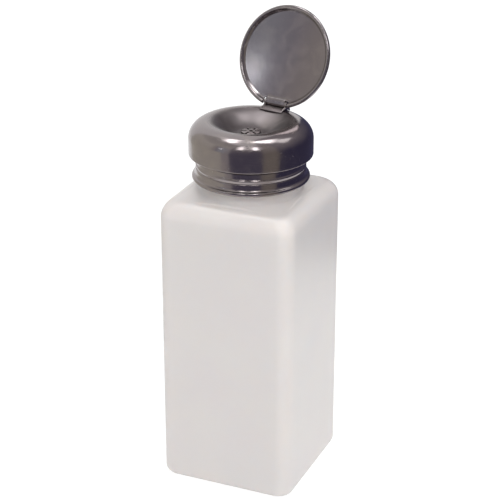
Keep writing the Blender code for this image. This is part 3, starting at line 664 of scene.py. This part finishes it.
@dataclass
class Bottle:
    """The blow-moulded bottle: a square body drawn in to a round threaded neck."""

    half: float = 26.0 * MM
    edge: float = 5.5 * MM
    base_edge: float = 3.5 * MM
    shoulder: float = 112.2 * MM
    round_height: float = 6.5 * MM
    round_inset: float = 5.2 * MM
    rise: float = 2.4 * MM
    crest_share: float = 0.2
    neck: float = 17.7 * MM
    flare: float = 2.0 * MM
    neck_height: float = 6.8 * MM
    neck_wall: float = 1.8 * MM
    lip_round: float = 0.45 * MM
    wall: float = 1.2 * MM
    sag: float = 0.22 * MM
    thread: Thread = Thread()
    thread_drop: float = 0.935 * MM
    round_spread: float = 0.02
    corner_steps: int = 12
    side_steps: int = 10
    side_rows: int = 24
    crest_rows: int = 14

    def ring(self, half: float, radius: float, height: float, sag: float = 0.0) -> list[Vector]:
        """A ring round a square with round corners.

        Args:
            half: Half the width over the flat sides.
            radius: The corners' radius; a circle's is half the width.
            height: The ring's height.
            sag: How far the middle of each flat side is drawn in.

        Returns:
            Its points.
        """
        inset = max(half - radius, 0.0)
        spread = 0.0 if inset else self.round_spread
        points = []
        for corner in range(4):
            turn = Matrix.Rotation(corner * math.pi / 2, 3, "Z")
            for k in range(self.side_steps):
                along = -1 + 2 * k / self.side_steps
                drawn = half - sag * (1 - along * along) ** 2
                flat = Vector((drawn, inset * along, height))
                points.append(turn @ (flat if inset else around(half, spread * along, height)))
            for k in range(self.corner_steps):
                angle = spread + (math.pi / 2 - 2 * spread) * k / self.corner_steps
                points.append(turn @ (Vector((inset, inset, 0.0)) + around(radius, angle, height)))
        return points

    def shell(self, wall: float) -> list[list[Vector]]:
        """Rings of the outside, or of the inside where a wall is given, base first.

        Args:
            wall: The wall's thickness, zero for the outside.

        Returns:
            The rings.
        """
        half = self.half - wall
        edge = self.edge - wall / 2
        base = self.base_edge - wall / 2
        rings = []
        for inset, up in arc((0, wall + base), (base, base), -90, 0, steps=10):
            rings.append(self.ring(half - base + inset, edge - base / 2 + inset / 2, up))
        low, high = wall + base, self.shoulder - self.round_height - wall
        for k in range(1, self.side_rows):
            share = k / self.side_rows
            sag = self.sag * math.sin(math.pi * share) ** 0.5
            rings.append(self.ring(half, edge, low + (high - low) * share, sag))
        width = half - self.round_inset
        for across, up in arc((width, high), (self.round_inset, self.round_height), 0, 90, steps=12):
            rings.append(self.ring(across, edge, up))
        flare = self.neck + self.flare - wall
        for k in range(1, self.crest_rows + 1):
            share = k / self.crest_rows
            ease = share * share * (3 - 2 * share)
            radius = edge + (flare - edge) * ease
            across = max(width + (flare - width) * share, radius)
            up = self.shoulder - wall + self.crest_share * self.rise * ease
            rings.append(self.ring(across, radius, up))
        return rings

    def build(self, finish: Material) -> None:
        """Makes the bottle and its neck's thread.

        Args:
            finish: Their material.
        """
        root = self.shoulder + self.rise
        lip = root + self.neck_height
        bore = self.neck - self.neck_wall
        rings = self.shell(0.0)
        centre = (self.neck + self.flare, root + self.rise / 4)
        outline = arc(centre, (self.flare, centre[1] - rings[-1][0].z), -90, -180, steps=6)[1:]
        for middle, start in ((self.neck - self.lip_round, 0), (bore + self.lip_round, 90)):
            radii = (self.lip_round, self.lip_round)
            outline += arc((middle, lip - self.lip_round), radii, start, start + 90, steps=4)
        outline.append((bore, root - self.rise / 4))
        rings += [self.ring(radius, radius, up) for radius, up in outline]
        rings += reversed(self.shell(self.wall))
        fit(skin("bottle_shell", rings), Body.BOTTLE, Slot.BOTTLE, finish, "bottle")
        start = lip - self.thread_drop - self.thread.pitch
        ridge = self.thread.build("neck_thread", self.neck, 1, start, 1.0)
        fit(ridge, Body.BOTTLE, Slot.BOTTLE, finish)


@dataclass
class Closure:
    """The spun steel collar and the thread inside its liner."""

    top: float = 125.25 * MM
    radius: float = 20.2 * MM
    sheet: float = 0.6 * MM
    hole: float = 8.5 * MM
    edge: float = 0.75 * MM
    drop: float = 7.45 * MM
    ring: tuple[float, float, float] = (2.10 * MM, 2.85 * MM, 3.95 * MM)
    ring_height: float = 0.40 * MM
    ring_back: float = 0.22 * MM
    flare: Point = (4.0 * MM, 0.85 * MM)
    flare_height: float = 0.32 * MM
    bead: float = 0.85 * MM
    reach: float = 1.25 * MM
    cove: float = 1.5 * MM
    steps: int = 144
    wall_rows: int = 90
    liner_bore: float = 18.5 * MM
    thread: Thread = Thread()
    thread_start: float = 118.515 * MM
    thread_turns: float = 0.85

    def wall(self, drop: float) -> float:
        """How far the ribbed wall stands in from the collar's full radius.

        Args:
            drop: The distance below the top.

        Returns:
            The inset.
        """
        start, crest, end = self.ring
        up = min(1.0, max(0.0, (drop - start) / (crest - start)))
        back = min(1.0, max(0.0, (drop - crest) / (end - crest)))
        share = min(1.0, max(0.0, 1 - (drop - self.flare[0]) / self.flare[1]))
        inset = self.flare_height * (1 - math.sqrt(1 - share * share))
        inset += self.ring_height * (1 + math.cos(math.pi * up)) / 2
        return inset - self.ring_back * (1 + math.cos(math.pi * back)) / 2

    def outline(self) -> list[Point]:
        """The collar's section.

        Returns:
            Its points, from the rim of its hole outside and back inside.
        """
        edge = self.edge
        points = [(self.hole, self.top)]
        centre = (self.radius - self.wall(edge) - edge, self.top - edge)
        points += arc(centre, (edge, edge), 90, 0, steps=12)
        bead = (self.radius + self.reach - self.bead, self.top - self.drop)
        out = self.cove - (bead[0] - self.radius)
        rise = math.sqrt((self.cove + self.bead) ** 2 - out * out)
        turn = math.degrees(math.atan2(rise, out))
        for k in range(1, self.wall_rows):
            drop = edge + (self.drop - rise - edge) * k / self.wall_rows
            points.append((self.radius - self.wall(drop), self.top - drop))
        cove = (self.radius + self.cove, bead[1] + rise)
        points += arc(cove, (self.cove, self.cove), 180, 180 + turn, steps=12)[:-1]
        join = math.degrees(math.acos((self.radius - bead[0]) / self.bead))
        points += arc(bead, (self.bead, self.bead), turn, -join, steps=18)
        inner, under = self.radius - self.sheet, self.top - self.sheet
        return points + [(inner, bead[1]), (inner, under), (self.hole, under)]

    def build(self, steel: Material, liner: Material) -> None:
        """Makes the collar and its thread.

        Args:
            steel: The collar's material.
            liner: The liner's material.
        """
        collar = lathe("collar_shell", self.outline(), self.steps)
        fit(collar, Body.COLLAR, Slot.STEEL, steel, "screw_collar")
        place = (self.liner_bore, -1, self.thread_start, self.thread_turns)
        fit(self.thread.build("liner_thread", *place), Body.COLLAR, Slot.LINER, liner)


@dataclass
class ReturnSpring:
    """The spring in the barrel; the real one shortens as the head goes down, this piece keeps its
    length.
    """

    radius: float = 4.4 * MM
    wire: float = 0.4 * MM
    foot: float = 89.3 * MM
    top: float = 104.95 * MM
    turns: int = 7
    close_gap: float = 0.6 * MM
    stroke: float = 6.0 * MM
    points_per_turn: int = 20

    def path(self) -> list[Vector]:
        """The wire's middle line, with its two end turns wound close.

        Returns:
            Its points, from the foot up.
        """
        close = 2 * self.wire + self.close_gap
        free = self.top - self.foot - 2 * self.wire - 2 * close
        points = []
        height = self.foot + self.wire
        for k in range(self.turns * self.points_per_turn + 1):
            turn = k / self.points_per_turn
            points.append(around(self.radius, math.tau * turn, height))
            at_end = turn < 1 or turn >= self.turns - 1
            height += (close if at_end else free / (self.turns - 2)) / self.points_per_turn
        return points

    def build(self, finish: Material) -> None:
        """Makes the spring.

        Args:
            finish: Its material.
        """
        points = self.path()
        curve = bpy.data.curves.new("spring_wire", "CURVE")
        curve.dimensions = "3D"
        curve.bevel_depth = self.wire
        curve.bevel_resolution = 3
        curve.use_fill_caps = True
        line = curve.splines.new("POLY")
        line.points.add(len(points) - 1)
        for slot, point in zip(line.points, points):
            slot.co = (*point, 1.0)
        drawn = add_object("spring_curve", curve)
        mesh = evaluated(drawn)
        bpy.data.objects.remove(drawn)
        mesh.shade_smooth()
        piece = add_object("spring_wire", mesh)
        fit(piece, Body.PUMP, Slot.BRIGHT, finish, "return_spring")
        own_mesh(piece)


@dataclass
class Head:
    """The press-down head: a spun shell with a dished top, and its slotted outlet."""

    turn_deg: float = 9.4
    radius: float = 22.6 * MM
    lip_z: float = 126.2 * MM
    wall: float = 5.8 * MM
    round_height: float = 6.4 * MM
    round_width: float = 6.8 * MM
    dish_depth: float = 4.7 * MM
    dish_flat: float = 4.2 * MM
    dish_steps: int = 30
    sheet: float = 0.6 * MM
    steps: int = 160
    button_radius: float = 3.5 * MM
    button_base: float = 133.85 * MM
    button_height: float = 0.6 * MM
    button_round: float = 0.2 * MM
    # Painted shade on the button starts this far below its top.
    grime_drop: float = 0.04 * MM
    bore: float = 0.8 * MM
    bore_chamfer: float = 0.1 * MM
    spigot: float = 1.85 * MM
    spigot_gap: float = 0.3 * MM
    spigot_end: float = 129.9 * MM
    slots: int = 6
    slot_width: float = 0.7 * MM
    slot_start: float = 1.5 * MM

    @property
    def spring_z(self) -> float:
        """Where the skirt ends and the shoulder's rounding starts."""
        return self.lip_z + self.wall

    @property
    def ridge_z(self) -> float:
        """The top of the ridge round the dish."""
        return self.spring_z + self.round_height

    @property
    def ridge_radius(self) -> float:
        """The ridge's distance from the axis."""
        return self.radius - self.round_width

    @property
    def button_top(self) -> float:
        """The top of the outlet's button."""
        return self.button_base + self.button_height

    def surface(self, radius: float) -> float:
        """The height of the shoulder's outer face at a distance from the axis."""
        across = (radius - self.ridge_radius) / self.round_width
        return self.spring_z + self.round_height * math.sqrt(max(0.0, 1 - across * across))

    def dish(self) -> list[Point]:
        """The dish's section.

        Returns:
            Its points, from the hole in its middle out to the ridge.
        """
        floor = self.ridge_z - self.dish_depth
        points = [(self.spigot + self.spigot_gap, floor)]
        for k in range(self.dish_steps):
            share = k / self.dish_steps
            radius = self.dish_flat + (self.ridge_radius - self.dish_flat) * share
            points.append((radius, floor + self.dish_depth * (1 - math.cos(math.pi * share)) / 2))
        return points

    def outline(self) -> list[Point]:
        """The shell's section.

        Returns:
            Its points: the dish, the ridge, the shoulder, the skirt, its lip and back inside.
        """
        near = self.dish()
        centre = (self.ridge_radius, self.spring_z)
        near += arc(centre, (self.round_width, self.round_height), 90, 0, steps=30)
        near += [(self.radius, self.spring_z - self.wall * k / 4) for k in (1, 2, 3)]
        half = self.sheet / 2
        lip = arc((self.radius - half, self.lip_z + half), (half, half), 0, -180, steps=8)
        return near + lip + other_face(near, self.sheet)[::-1]

    def build(self, steel: Material, slotted: Material) -> None:
        """Makes the shell, and the button that the solvent wells up through.

        Args:
            steel: The shell's material.
            slotted: The button's material.
        """
        shell = lathe("head_skin", self.outline(), self.steps)
        fit(shell, Body.HEAD, Slot.STEEL, steel, "head_shell")
        top, low, edge = self.button_top, self.button_base, self.button_round
        outline = [(self.bore, top - self.bore_chamfer), (self.bore + self.bore_chamfer, top)]
        outline += arc((self.button_radius - edge, top - edge), (edge, edge), 90, 0, steps=4)
        outline += [(self.button_radius, low), (self.spigot, low)]
        outline += [(self.spigot, self.spigot_end), (self.bore, self.spigot_end)]
        button = lathe("outlet_button", outline, steps=72)
        near = (self.slot_start, low + self.button_height / 3)
        side = box(near, (self.button_radius + OVERRUN, top + OVERRUN))
        for k in range(self.slots):
            cutter = plate(f"slot_{k}", side, self.slot_width / 2)
            turn = math.tau * (k - 1) / self.slots - math.radians(self.turn_deg)
            cutter.data.transform(Matrix.Rotation(turn, 4, "Z"))
            carve(button, cutter)
        fit(button, Body.HEAD, Slot.STEEL, slotted, "outlet_rosette")


@dataclass
class Hinge:
    """The lid's bracket on the head, and the pin that the lid turns on."""

    head: Head
    distance: float = 17.2 * MM
    pin_z: float = 139.903 * MM
    pin: float = 0.42 * MM
    pin_head: float = 0.75 * MM
    pin_head_depth: float = 0.25 * MM
    ear_inside: float = 3.95 * MM
    ear_outside: float = 4.65 * MM
    ear_radius: float = 1.1 * MM
    ear_soft: float = 0.1 * MM
    soft_from_deg: float = 40.0
    toe: float = 4.4 * MM
    heel: float = 2.0 * MM
    sole: float = 0.35 * MM
    stop_rise: float = 0.6 * MM
    channel_back: float = 0.2 * MM
    open_deg: float = 110.7
    lid_back: float = 0.135 * MM
    lid_drop: float = 0.66 * MM
    knuckle: float = 0.94 * MM
    knuckle_gap: float = 0.12 * MM
    gap: float = 0.15 * MM

    @property
    def turn(self) -> Matrix:
        """The turn of the hinge with the head."""
        return Matrix.Rotation(-math.radians(self.head.turn_deg), 4, "Z")

    def side(self) -> list[Point]:
        """The bracket from the side.

        Returns:
            Its outline, as (back, up) pairs.
        """
        lean = math.radians(self.open_deg - 90)
        behind = self.lid_back + self.gap
        height = self.ear_radius + self.stop_rise
        stop = (
            self.distance + behind * math.cos(lean) + height * math.sin(lean),
            self.pin_z - behind * math.sin(lean) + height * math.cos(lean),
        )
        toe, heel = self.distance - self.toe, self.distance + self.heel
        sole = self.head.surface(math.hypot(heel, self.ear_outside)) - self.sole
        points = [(toe, sole), (toe, self.head.ridge_z)]
        points.append((self.distance - self.ear_radius, self.pin_z - self.lid_drop))
        points += arc((self.distance, self.pin_z), (self.ear_radius, self.ear_radius), 180, 85, steps=10)
        points += [stop, (self.distance + self.ear_radius, stop[1] - self.gap)]
        return points + [(heel, self.head.surface(heel) + self.sole), (heel, sole)]

    def build(self, steel: Material, bright: Material) -> None:
        """Makes the bracket and the pin.

        Args:
            steel: The bracket's material.
            bright: The pin's material.
        """
        head, gap = self.head, self.gap
        bracket = plate("hinge_ears", self.side(), self.ear_outside)
        below = [(radius, height + gap) for radius, height in head.dish()]
        radii = (head.round_width + gap, head.round_height + gap)
        below += arc((head.ridge_radius, head.spring_z), radii, 90, 0, steps=40)
        below += [(head.radius + gap, head.lip_z), (below[0][0], head.lip_z)]
        carve(bracket, lathe("head_room", below, head.steps))
        low = (self.distance - OVERRUN, self.pin_z - self.knuckle - self.knuckle_gap)
        high = (self.distance + self.knuckle + self.channel_back, self.pin_z + OVERRUN)
        carve(bracket, plate("channel", box(low, high), self.ear_inside))
        bend = math.radians(self.soft_from_deg)
        rounding = {"width": self.ear_soft, "segments": 2, "limit_method": "ANGLE"}
        modify(bracket, "BEVEL", angle_limit=bend, **rounding)
        bracket.data.transform(self.turn)
        fit(bracket, Body.HEAD, Slot.STEEL, steel, "hinge_bracket")
        inner = self.ear_outside + gap
        outer = inner + self.pin_head_depth
        half = [(0.0, outer)]
        half += arc((self.pin_head - gap, outer - gap), (gap, gap), 90, 0, steps=3)
        half += [(self.pin_head, inner), (self.pin, inner)]
        section = half + [(radius, -up) for radius, up in reversed(half)]
        rivet = lathe("hinge_rivet", section, steps=32, closed=False)
        place = Matrix.Translation((0, self.distance, self.pin_z)) @ Matrix.Rotation(math.pi / 2, 4, "Y")
        rivet.data.transform(self.turn @ place)
        fit(rivet, Body.HEAD, Slot.BRIGHT, bright, "hinge_pin")


@dataclass
class Lid:
    """The round lid: a crowned pan with a rolled rim and a tongue that curls round the pin."""

    hinge: Hinge
    radius: float = 18.83 * MM
    bead: float = 0.75 * MM
    sheet: float = 0.5 * MM
    sheet_share: float = 0.96
    sheet_rows: int = 16
    crown: float = 0.8 * MM
    rim_z: float = 138.973 * MM
    notch_reach: float = 0.3 * MM
    notch_side: float = 0.6 * MM
    tongue_width: float = 7.7 * MM
    tongue_sheet: float = 0.4 * MM
    tongue_root: float = 2.3 * MM
    tongue_bend: float = 1.1 * MM
    tongue_steps: int = 7
    knuckle_turn_deg: float = 285.0
    steps: int = 160

    def floor(self, radius: float) -> float:
        """The height of the middle of the closed lid's sheet at a distance from its centre."""
        edge = self.radius - 2 * self.bead
        return self.hinge.pin_z - self.sheet / 2 + self.crown * (1 - (radius / edge) ** 2)

    def section(self) -> list[Point]:
        """The closed lid's section.

        Returns:
            Its points, from its middle over its bead and back inside.
        """
        edge = self.radius - 2 * self.bead
        half = self.sheet / 2
        rows = self.sheet_rows
        radii = [edge * (k / rows * self.sheet_share) for k in range(rows + 1)]
        top = [(radius, self.floor(radius) + half) for radius in radii]
        under = [(radius, self.floor(radius) - half) for radius in reversed(radii)]
        middle = (self.radius - self.bead, self.rim_z)
        return top + arc(middle, (self.bead, self.bead), 105, -165, steps=22) + under

    def tongue(self) -> list[Point]:
        """The middle line of the tongue's sheet.

        Returns:
            Its points, as (back, up) pairs, from the lid round the pin.
        """
        hinge = self.hinge
        mean = hinge.pin + hinge.knuckle_gap + self.tongue_sheet / 2
        root, bend = hinge.distance - self.tongue_root, hinge.distance - self.tongue_bend
        low = hinge.pin_z - mean
        start = self.floor(root)
        path = []
        for k in range(self.tongue_steps):
            share = k / self.tongue_steps
            ease = share * share * (3 - 2 * share)
            path.append((root + (bend - root) * share, start + (low - start) * ease))
        path.append((bend, low))
        end = self.knuckle_turn_deg - 90
        return path + arc((hinge.distance, hinge.pin_z), (mean, mean), -90, end, steps=28)

    def opened(self) -> Matrix:
        """The lid's move as it opens.

        Returns:
            The move from closed, with its hinge straight back, to open at rest.
        """
        hinge = self.hinge
        swing = Matrix.Rotation(-math.radians(hinge.open_deg), 4, "X")
        pivot = Matrix.Translation((0, hinge.distance, hinge.pin_z))
        return hinge.turn @ pivot @ swing @ pivot.inverted()

    def build(self, steel: Material) -> None:
        """Makes the lid, open as it rests.

        Args:
            steel: Its material.
        """
        hinge = self.hinge
        lid = lathe("lid_skin", self.section(), self.steps, closed=False)
        low = (hinge.distance - hinge.ear_radius - self.notch_reach, self.rim_z - OVERRUN)
        side = box(low, (self.radius + OVERRUN, hinge.pin_z + OVERRUN))
        carve(lid, plate("notch", side, hinge.ear_outside + self.notch_side))
        near = other_face(self.tongue(), self.tongue_sheet / 2)
        side = near + other_face(self.tongue(), -self.tongue_sheet / 2)[::-1]
        carve(lid, plate("tongue", side, self.tongue_width / 2), "UNION")
        lid.data.transform(self.opened())
        fit(lid, Body.LID, Slot.STEEL, steel, "lid")


@dataclass
class Insides:
    """The solids that lie inside, each with its own finish."""

    finishes: Mapping[Slot, Material]

    def build(self) -> None:
        """Dresses every solid that still shows."""
        slots = {row["node"]: row["material_slot"] for row in frame["record"]["subparts"]}
        for name, node in sorted(frame["nodes"].items()):
            if node.hide_render:
                continue
            slot = Slot(slots[name])
            node.data.materials.clear()
            node.data.materials.append(self.finishes[slot])
            LOG.info("%s keeps its solid, in %s", name, slot.value)


# Studio


def aimed(
    azimuth_deg: float, elevation_deg: float, distance: float, aim: Colour
) -> tuple[Vector, Euler]:
    """Where something stands round a point, and how it turns to look at it.

    Args:
        azimuth_deg: The direction that it stands in; 0 is in front and 90 to the right.
        elevation_deg: How high it stands.
        distance: How far away it stands.
        aim: The point.

    Returns:
        Its location and its rotation.
    """
    a, e = math.radians(azimuth_deg), math.radians(elevation_deg)
    back = Vector((math.sin(a) * math.cos(e), -math.cos(a) * math.cos(e), math.sin(e)))
    return Vector(aim) + back * distance, (-back).to_track_quat("-Z", "Y").to_euler()


@dataclass(frozen=True)
class Softbox:
    """A soft lamp that points at the object and isn't mirrored in it."""

    name: str
    azimuth_deg: float
    elevation_deg: float
    distance: float
    width: float
    height: float
    power: float
    aim: Colour = (0.0, 0.0, 0.11)

    def build(self) -> None:
        """Adds the lamp."""
        lamp = bpy.data.lights.new(self.name, "AREA")
        lamp.shape = "RECTANGLE"
        lamp.size = self.width
        lamp.size_y = self.height
        lamp.energy = self.power
        placed = add_object(self.name, lamp)
        placed.visible_glossy = False
        placed.location, placed.rotation_euler = aimed(
            self.azimuth_deg, self.elevation_deg, self.distance, self.aim
        )


@dataclass(frozen=True)
class Flag:
    """A card bent like a piece of a globe round the head, seen only in the metal."""

    name: str
    turns_deg: Point
    heights_deg: Point
    radius: float
    low_shade: Colour
    high_shade: Colour | None = None
    strength: float = 1.0
    centre: Colour = (0.0, 0.0, 0.13)
    columns: int = 24
    rows: int = 12

    def build(self) -> None:
        """Adds the card."""
        (left, right), (low, high) = self.turns_deg, self.heights_deg
        work = bmesh.new()
        bmesh.ops.create_grid(work, x_segments=self.columns, y_segments=self.rows, size=0.5)
        for vertex in work.verts:
            turn = left + (right - left) * (vertex.co.x + 0.5)
            rise = low + (high - low) * (vertex.co.y + 0.5)
            vertex.co = aimed(turn, rise, self.radius, self.centre)[0]
        card = finish_mesh(self.name, work)
        graph = Graph(bpy.data.materials.new(self.name))
        _, _, z = graph.split(graph.position())
        foot, top = (self.centre[2] + self.radius * math.sin(math.radians(d)) for d in (low, high))
        tone = graph.blend(graph.step(z, foot, top), self.low_shade, self.high_shade or self.low_shade)
        glow = graph.read(0, "ShaderNodeEmission", {"Color": tone, "Strength": self.strength})
        card.data.materials.append(graph.end(glow))
        for ray in ("camera", "diffuse", "shadow", "transmission"):
            setattr(card, f"visible_{ray}", False)


GREY, DARK, WARM = (0.72, 0.70, 0.63), (0.15, 0.14, 0.20), (0.33, 0.30, 0.27)
NIGHT, WHITE, COOL = (0.08, 0.075, 0.14), (1.0, 1.0, 1.0), (0.94, 1.0, 1.05)
LOW, HIGH = (-32, 4), (1, 34)
NEAR, LAMP, FAR = 0.24, 1.1, 1.4
LAMPS = (
    Softbox("panel", 20.0, 46.0, 1.2, 0.8, 0.8, 8.4),
    Softbox("side", 100.0, 14.0, 0.7, 0.4, 0.3, 0.7, aim=(0.0, 0.0, 0.09)),
    Softbox("back", 200.0, 8.0, 1.2, 0.6, 0.5, 4.5),
)
FLAGS = (
    Flag("near_left", (-110, -30), LOW, NEAR, GREY),
    Flag("near_turn", (-30, -15), LOW, NEAR, (0.52, 0.49, 0.50)),
    Flag("near_front", (-15, 44), LOW, NEAR, DARK),
    Flag("near_side", (44, 74), LOW, NEAR, WARM),
    Flag("near_back", (74, 200), LOW, NEAR, NIGHT),
    Flag("far_left", (-110, -52), HIGH, FAR, GREY, (0.80, 0.78, 0.72)),
    Flag("far_brown", (-52.0, -44.5), HIGH, FAR, (0.58, 0.54, 0.51)),
    Flag("far_grey", (-44.5, -39.0), HIGH, FAR, (0.44, 0.43, 0.49)),
    Flag("far_blue", (-39, -25), HIGH, FAR, (0.54, 0.57, 0.62)),
    Flag("far_halo", (-38.2, -33.2), (21.0, 26.5), 1.3, (0.88, 0.94, 1.0)),
    Flag("far_turn", (-25, -15), HIGH, FAR, (0.50, 0.48, 0.50), (0.60, 0.58, 0.60)),
    Flag("far_top", (-110, -15), (34, 62), FAR, (0.68, 0.66, 0.62), (0.56, 0.54, 0.53)),
    Flag("far_front", (-15, 44), (1, 60), FAR, DARK, (0.30, 0.28, 0.30)),
    Flag("far_side", (44, 74), (1, 75), FAR, WARM, (0.50, 0.46, 0.45)),
    Flag("far_back", (74, 192), (1, 85), FAR, NIGHT, (0.45, 0.42, 0.44)),
    Flag("front_left", (-3.0, 6.5), (36, 56), LAMP, WHITE, strength=5.8),
    Flag("front_right", (27.5, 38.5), (36, 56), LAMP, WHITE, strength=6.2),
    Flag("overhead_left", (-122, -52), (65, 76), LAMP, WHITE, strength=6.0),
    Flag("overhead_right", (92, 160), (62, 88), LAMP, (0.15, 0.15, 0.15), WHITE, 8.5),
    Flag("overhead_tail", (108, 142), (46, 64), LAMP, WHITE, strength=2.0),
    Flag("lid_glow", (-37.0, -34.6), (23.2, 25.6), LAMP, COOL, strength=7.5),
)


@dataclass
class Studio:
    """The camera, the white surroundings, the floor, the lamps and the flags."""

    camera_place: Colour = (0.2250, -0.5208, 0.3350)
    camera_azimuth_deg: float = 23.4
    camera_pitch_deg: float = 23.55
    lens: float = 120.4
    fill: float = 0.465
    floor_size: float = 4.0
    paper: float = 0.80
    shade: float = 0.29
    glow: float = 0.855

    def camera(self) -> None:
        """Adds the camera at the photograph's viewing angle."""
        data = bpy.data.cameras.new("camera")
        data.lens = self.lens
        data.sensor_width = 36.0
        data.clip_start = 0.05
        data.clip_end = 20.0
        placed = add_object("camera", data)
        placed.location = self.camera_place
        pitch = math.radians(90 - self.camera_pitch_deg)
        placed.rotation_euler = (pitch, 0.0, math.radians(self.camera_azimuth_deg))
        bpy.context.scene.camera = placed

    def surroundings(self) -> None:
        """Makes the world: white to look at, and a plain soft light."""
        graph = Graph(bpy.data.worlds.new("surroundings"))
        strength = self.fill + graph.seen() * (1.0 - self.fill)
        inputs = {"Color": (1.0, 1.0, 1.0, 1.0), "Strength": strength}
        bpy.context.scene.world = graph.end(graph.read(0, "ShaderNodeBackground", inputs))

    def floor(self) -> None:
        """Adds the pale floor, white to look at, with the object's shadow on it."""
        work = bmesh.new()
        bmesh.ops.create_grid(work, x_segments=1, y_segments=1, size=self.floor_size / 2)
        floor = finish_mesh("floor", work)
        graph = Graph(bpy.data.materials.new("floor_paper"))
        paper, shade = (
            graph.read(0, "ShaderNodeBsdfDiffuse", {"Color": (tone, tone, tone, 1.0)})
            for tone in (self.paper, self.shade)
        )
        glow = graph.read(0, "ShaderNodeEmission", {"Strength": self.glow})
        shown = graph.read(0, "ShaderNodeAddShader", {0: shade, 1: glow})
        mixed = graph.read(0, "ShaderNodeMixShader", {0: graph.seen(), 1: paper, 2: shown})
        floor.data.materials.append(graph.end(mixed))

    def build(self) -> None:
        """Sets up the whole studio."""
        bpy.context.scene.view_settings.view_transform = "Standard"
        self.camera()
        self.surroundings()
        self.floor()
        for light in LAMPS + FLAGS:
            light.build()


def main() -> None:
    """Builds every piece in order, then the studio."""
    logging.basicConfig(level=logging.INFO, format="%(name)s: %(message)s")
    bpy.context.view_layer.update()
    steel = SpunSteel("spun_steel").build()
    dished_steel = SpunSteel(
        "dished_steel",
        scuffs=0.24,
        # painted shade in the dish
        tarnish=(0.665, 0.5225),
        # painted reflection: a lighter spot in the dish
        wiped=(4.0 * MM, 9.0 * MM),
        wiped_edges=(2.25 * MM, 9.0 * MM),
    ).build()
    head = Head()
    hinge = Hinge(head)
    lid = Lid(hinge)
    closed = lid.opened().inverted()
    # A darker, slightly bluer copy of the spun steel: painted shade on the lid.
    lid_steel_painted_shade = SpunSteel(
        "lid_steel_painted_shade",
        (0.255, 0.231, 0.240),
        (0.305, 0.275, 0.273),
        roughness=0.12,
        smudge=0.03,
        specks=0.0,
        dent_depth=0.006 * MM,
        anisotropy=0.0,
        turn=tuple(closed.to_euler()),
        shift=tuple(closed.translation),
    ).build()
    small_steel = SpunSteel("pressed_steel", roughness=0.3, smudge_size=2.0 * MM).build()
    # Painted shade below the button's top face, in its slots.
    grime_top = head.button_top - head.grime_drop
    slotted_steel = SpunSteel("slotted_steel", roughness=0.24, grime_top=grime_top).build()
    bright = SpunSteel(
        "bright_steel", (0.62, 0.61, 0.60), (0.52, 0.51, 0.50), 0.16, 0.08, 2.0 * MM
    ).build()
    milky = MilkyPlastic("milky_plastic").build()
    liner = MouldedPlastic("liner_black", (0.05, 0.05, 0.05), 0.45).build()
    Bottle().build(milky)
    Closure().build(steel, liner)
    ReturnSpring().build(bright)
    head.build(dished_steel, slotted_steel)
    hinge.build(small_steel, bright)
    lid.build(lid_steel_painted_shade)
    finishes = {
        Slot.INNER: MouldedPlastic("natural_moulding", (0.80, 0.80, 0.78), 0.38).build(),
        Slot.SEAL: MouldedPlastic("seal_black", (0.04, 0.04, 0.04), 0.5).build(),
        Slot.LINER: liner,
        Slot.FOAM: FoamSheet("gasket_foam").build(),
        Slot.STEEL: small_steel,
        Slot.BRIGHT: bright,
    }
    Insides(finishes).build()
    Studio().build()


if __name__ == "__main__":
    main()
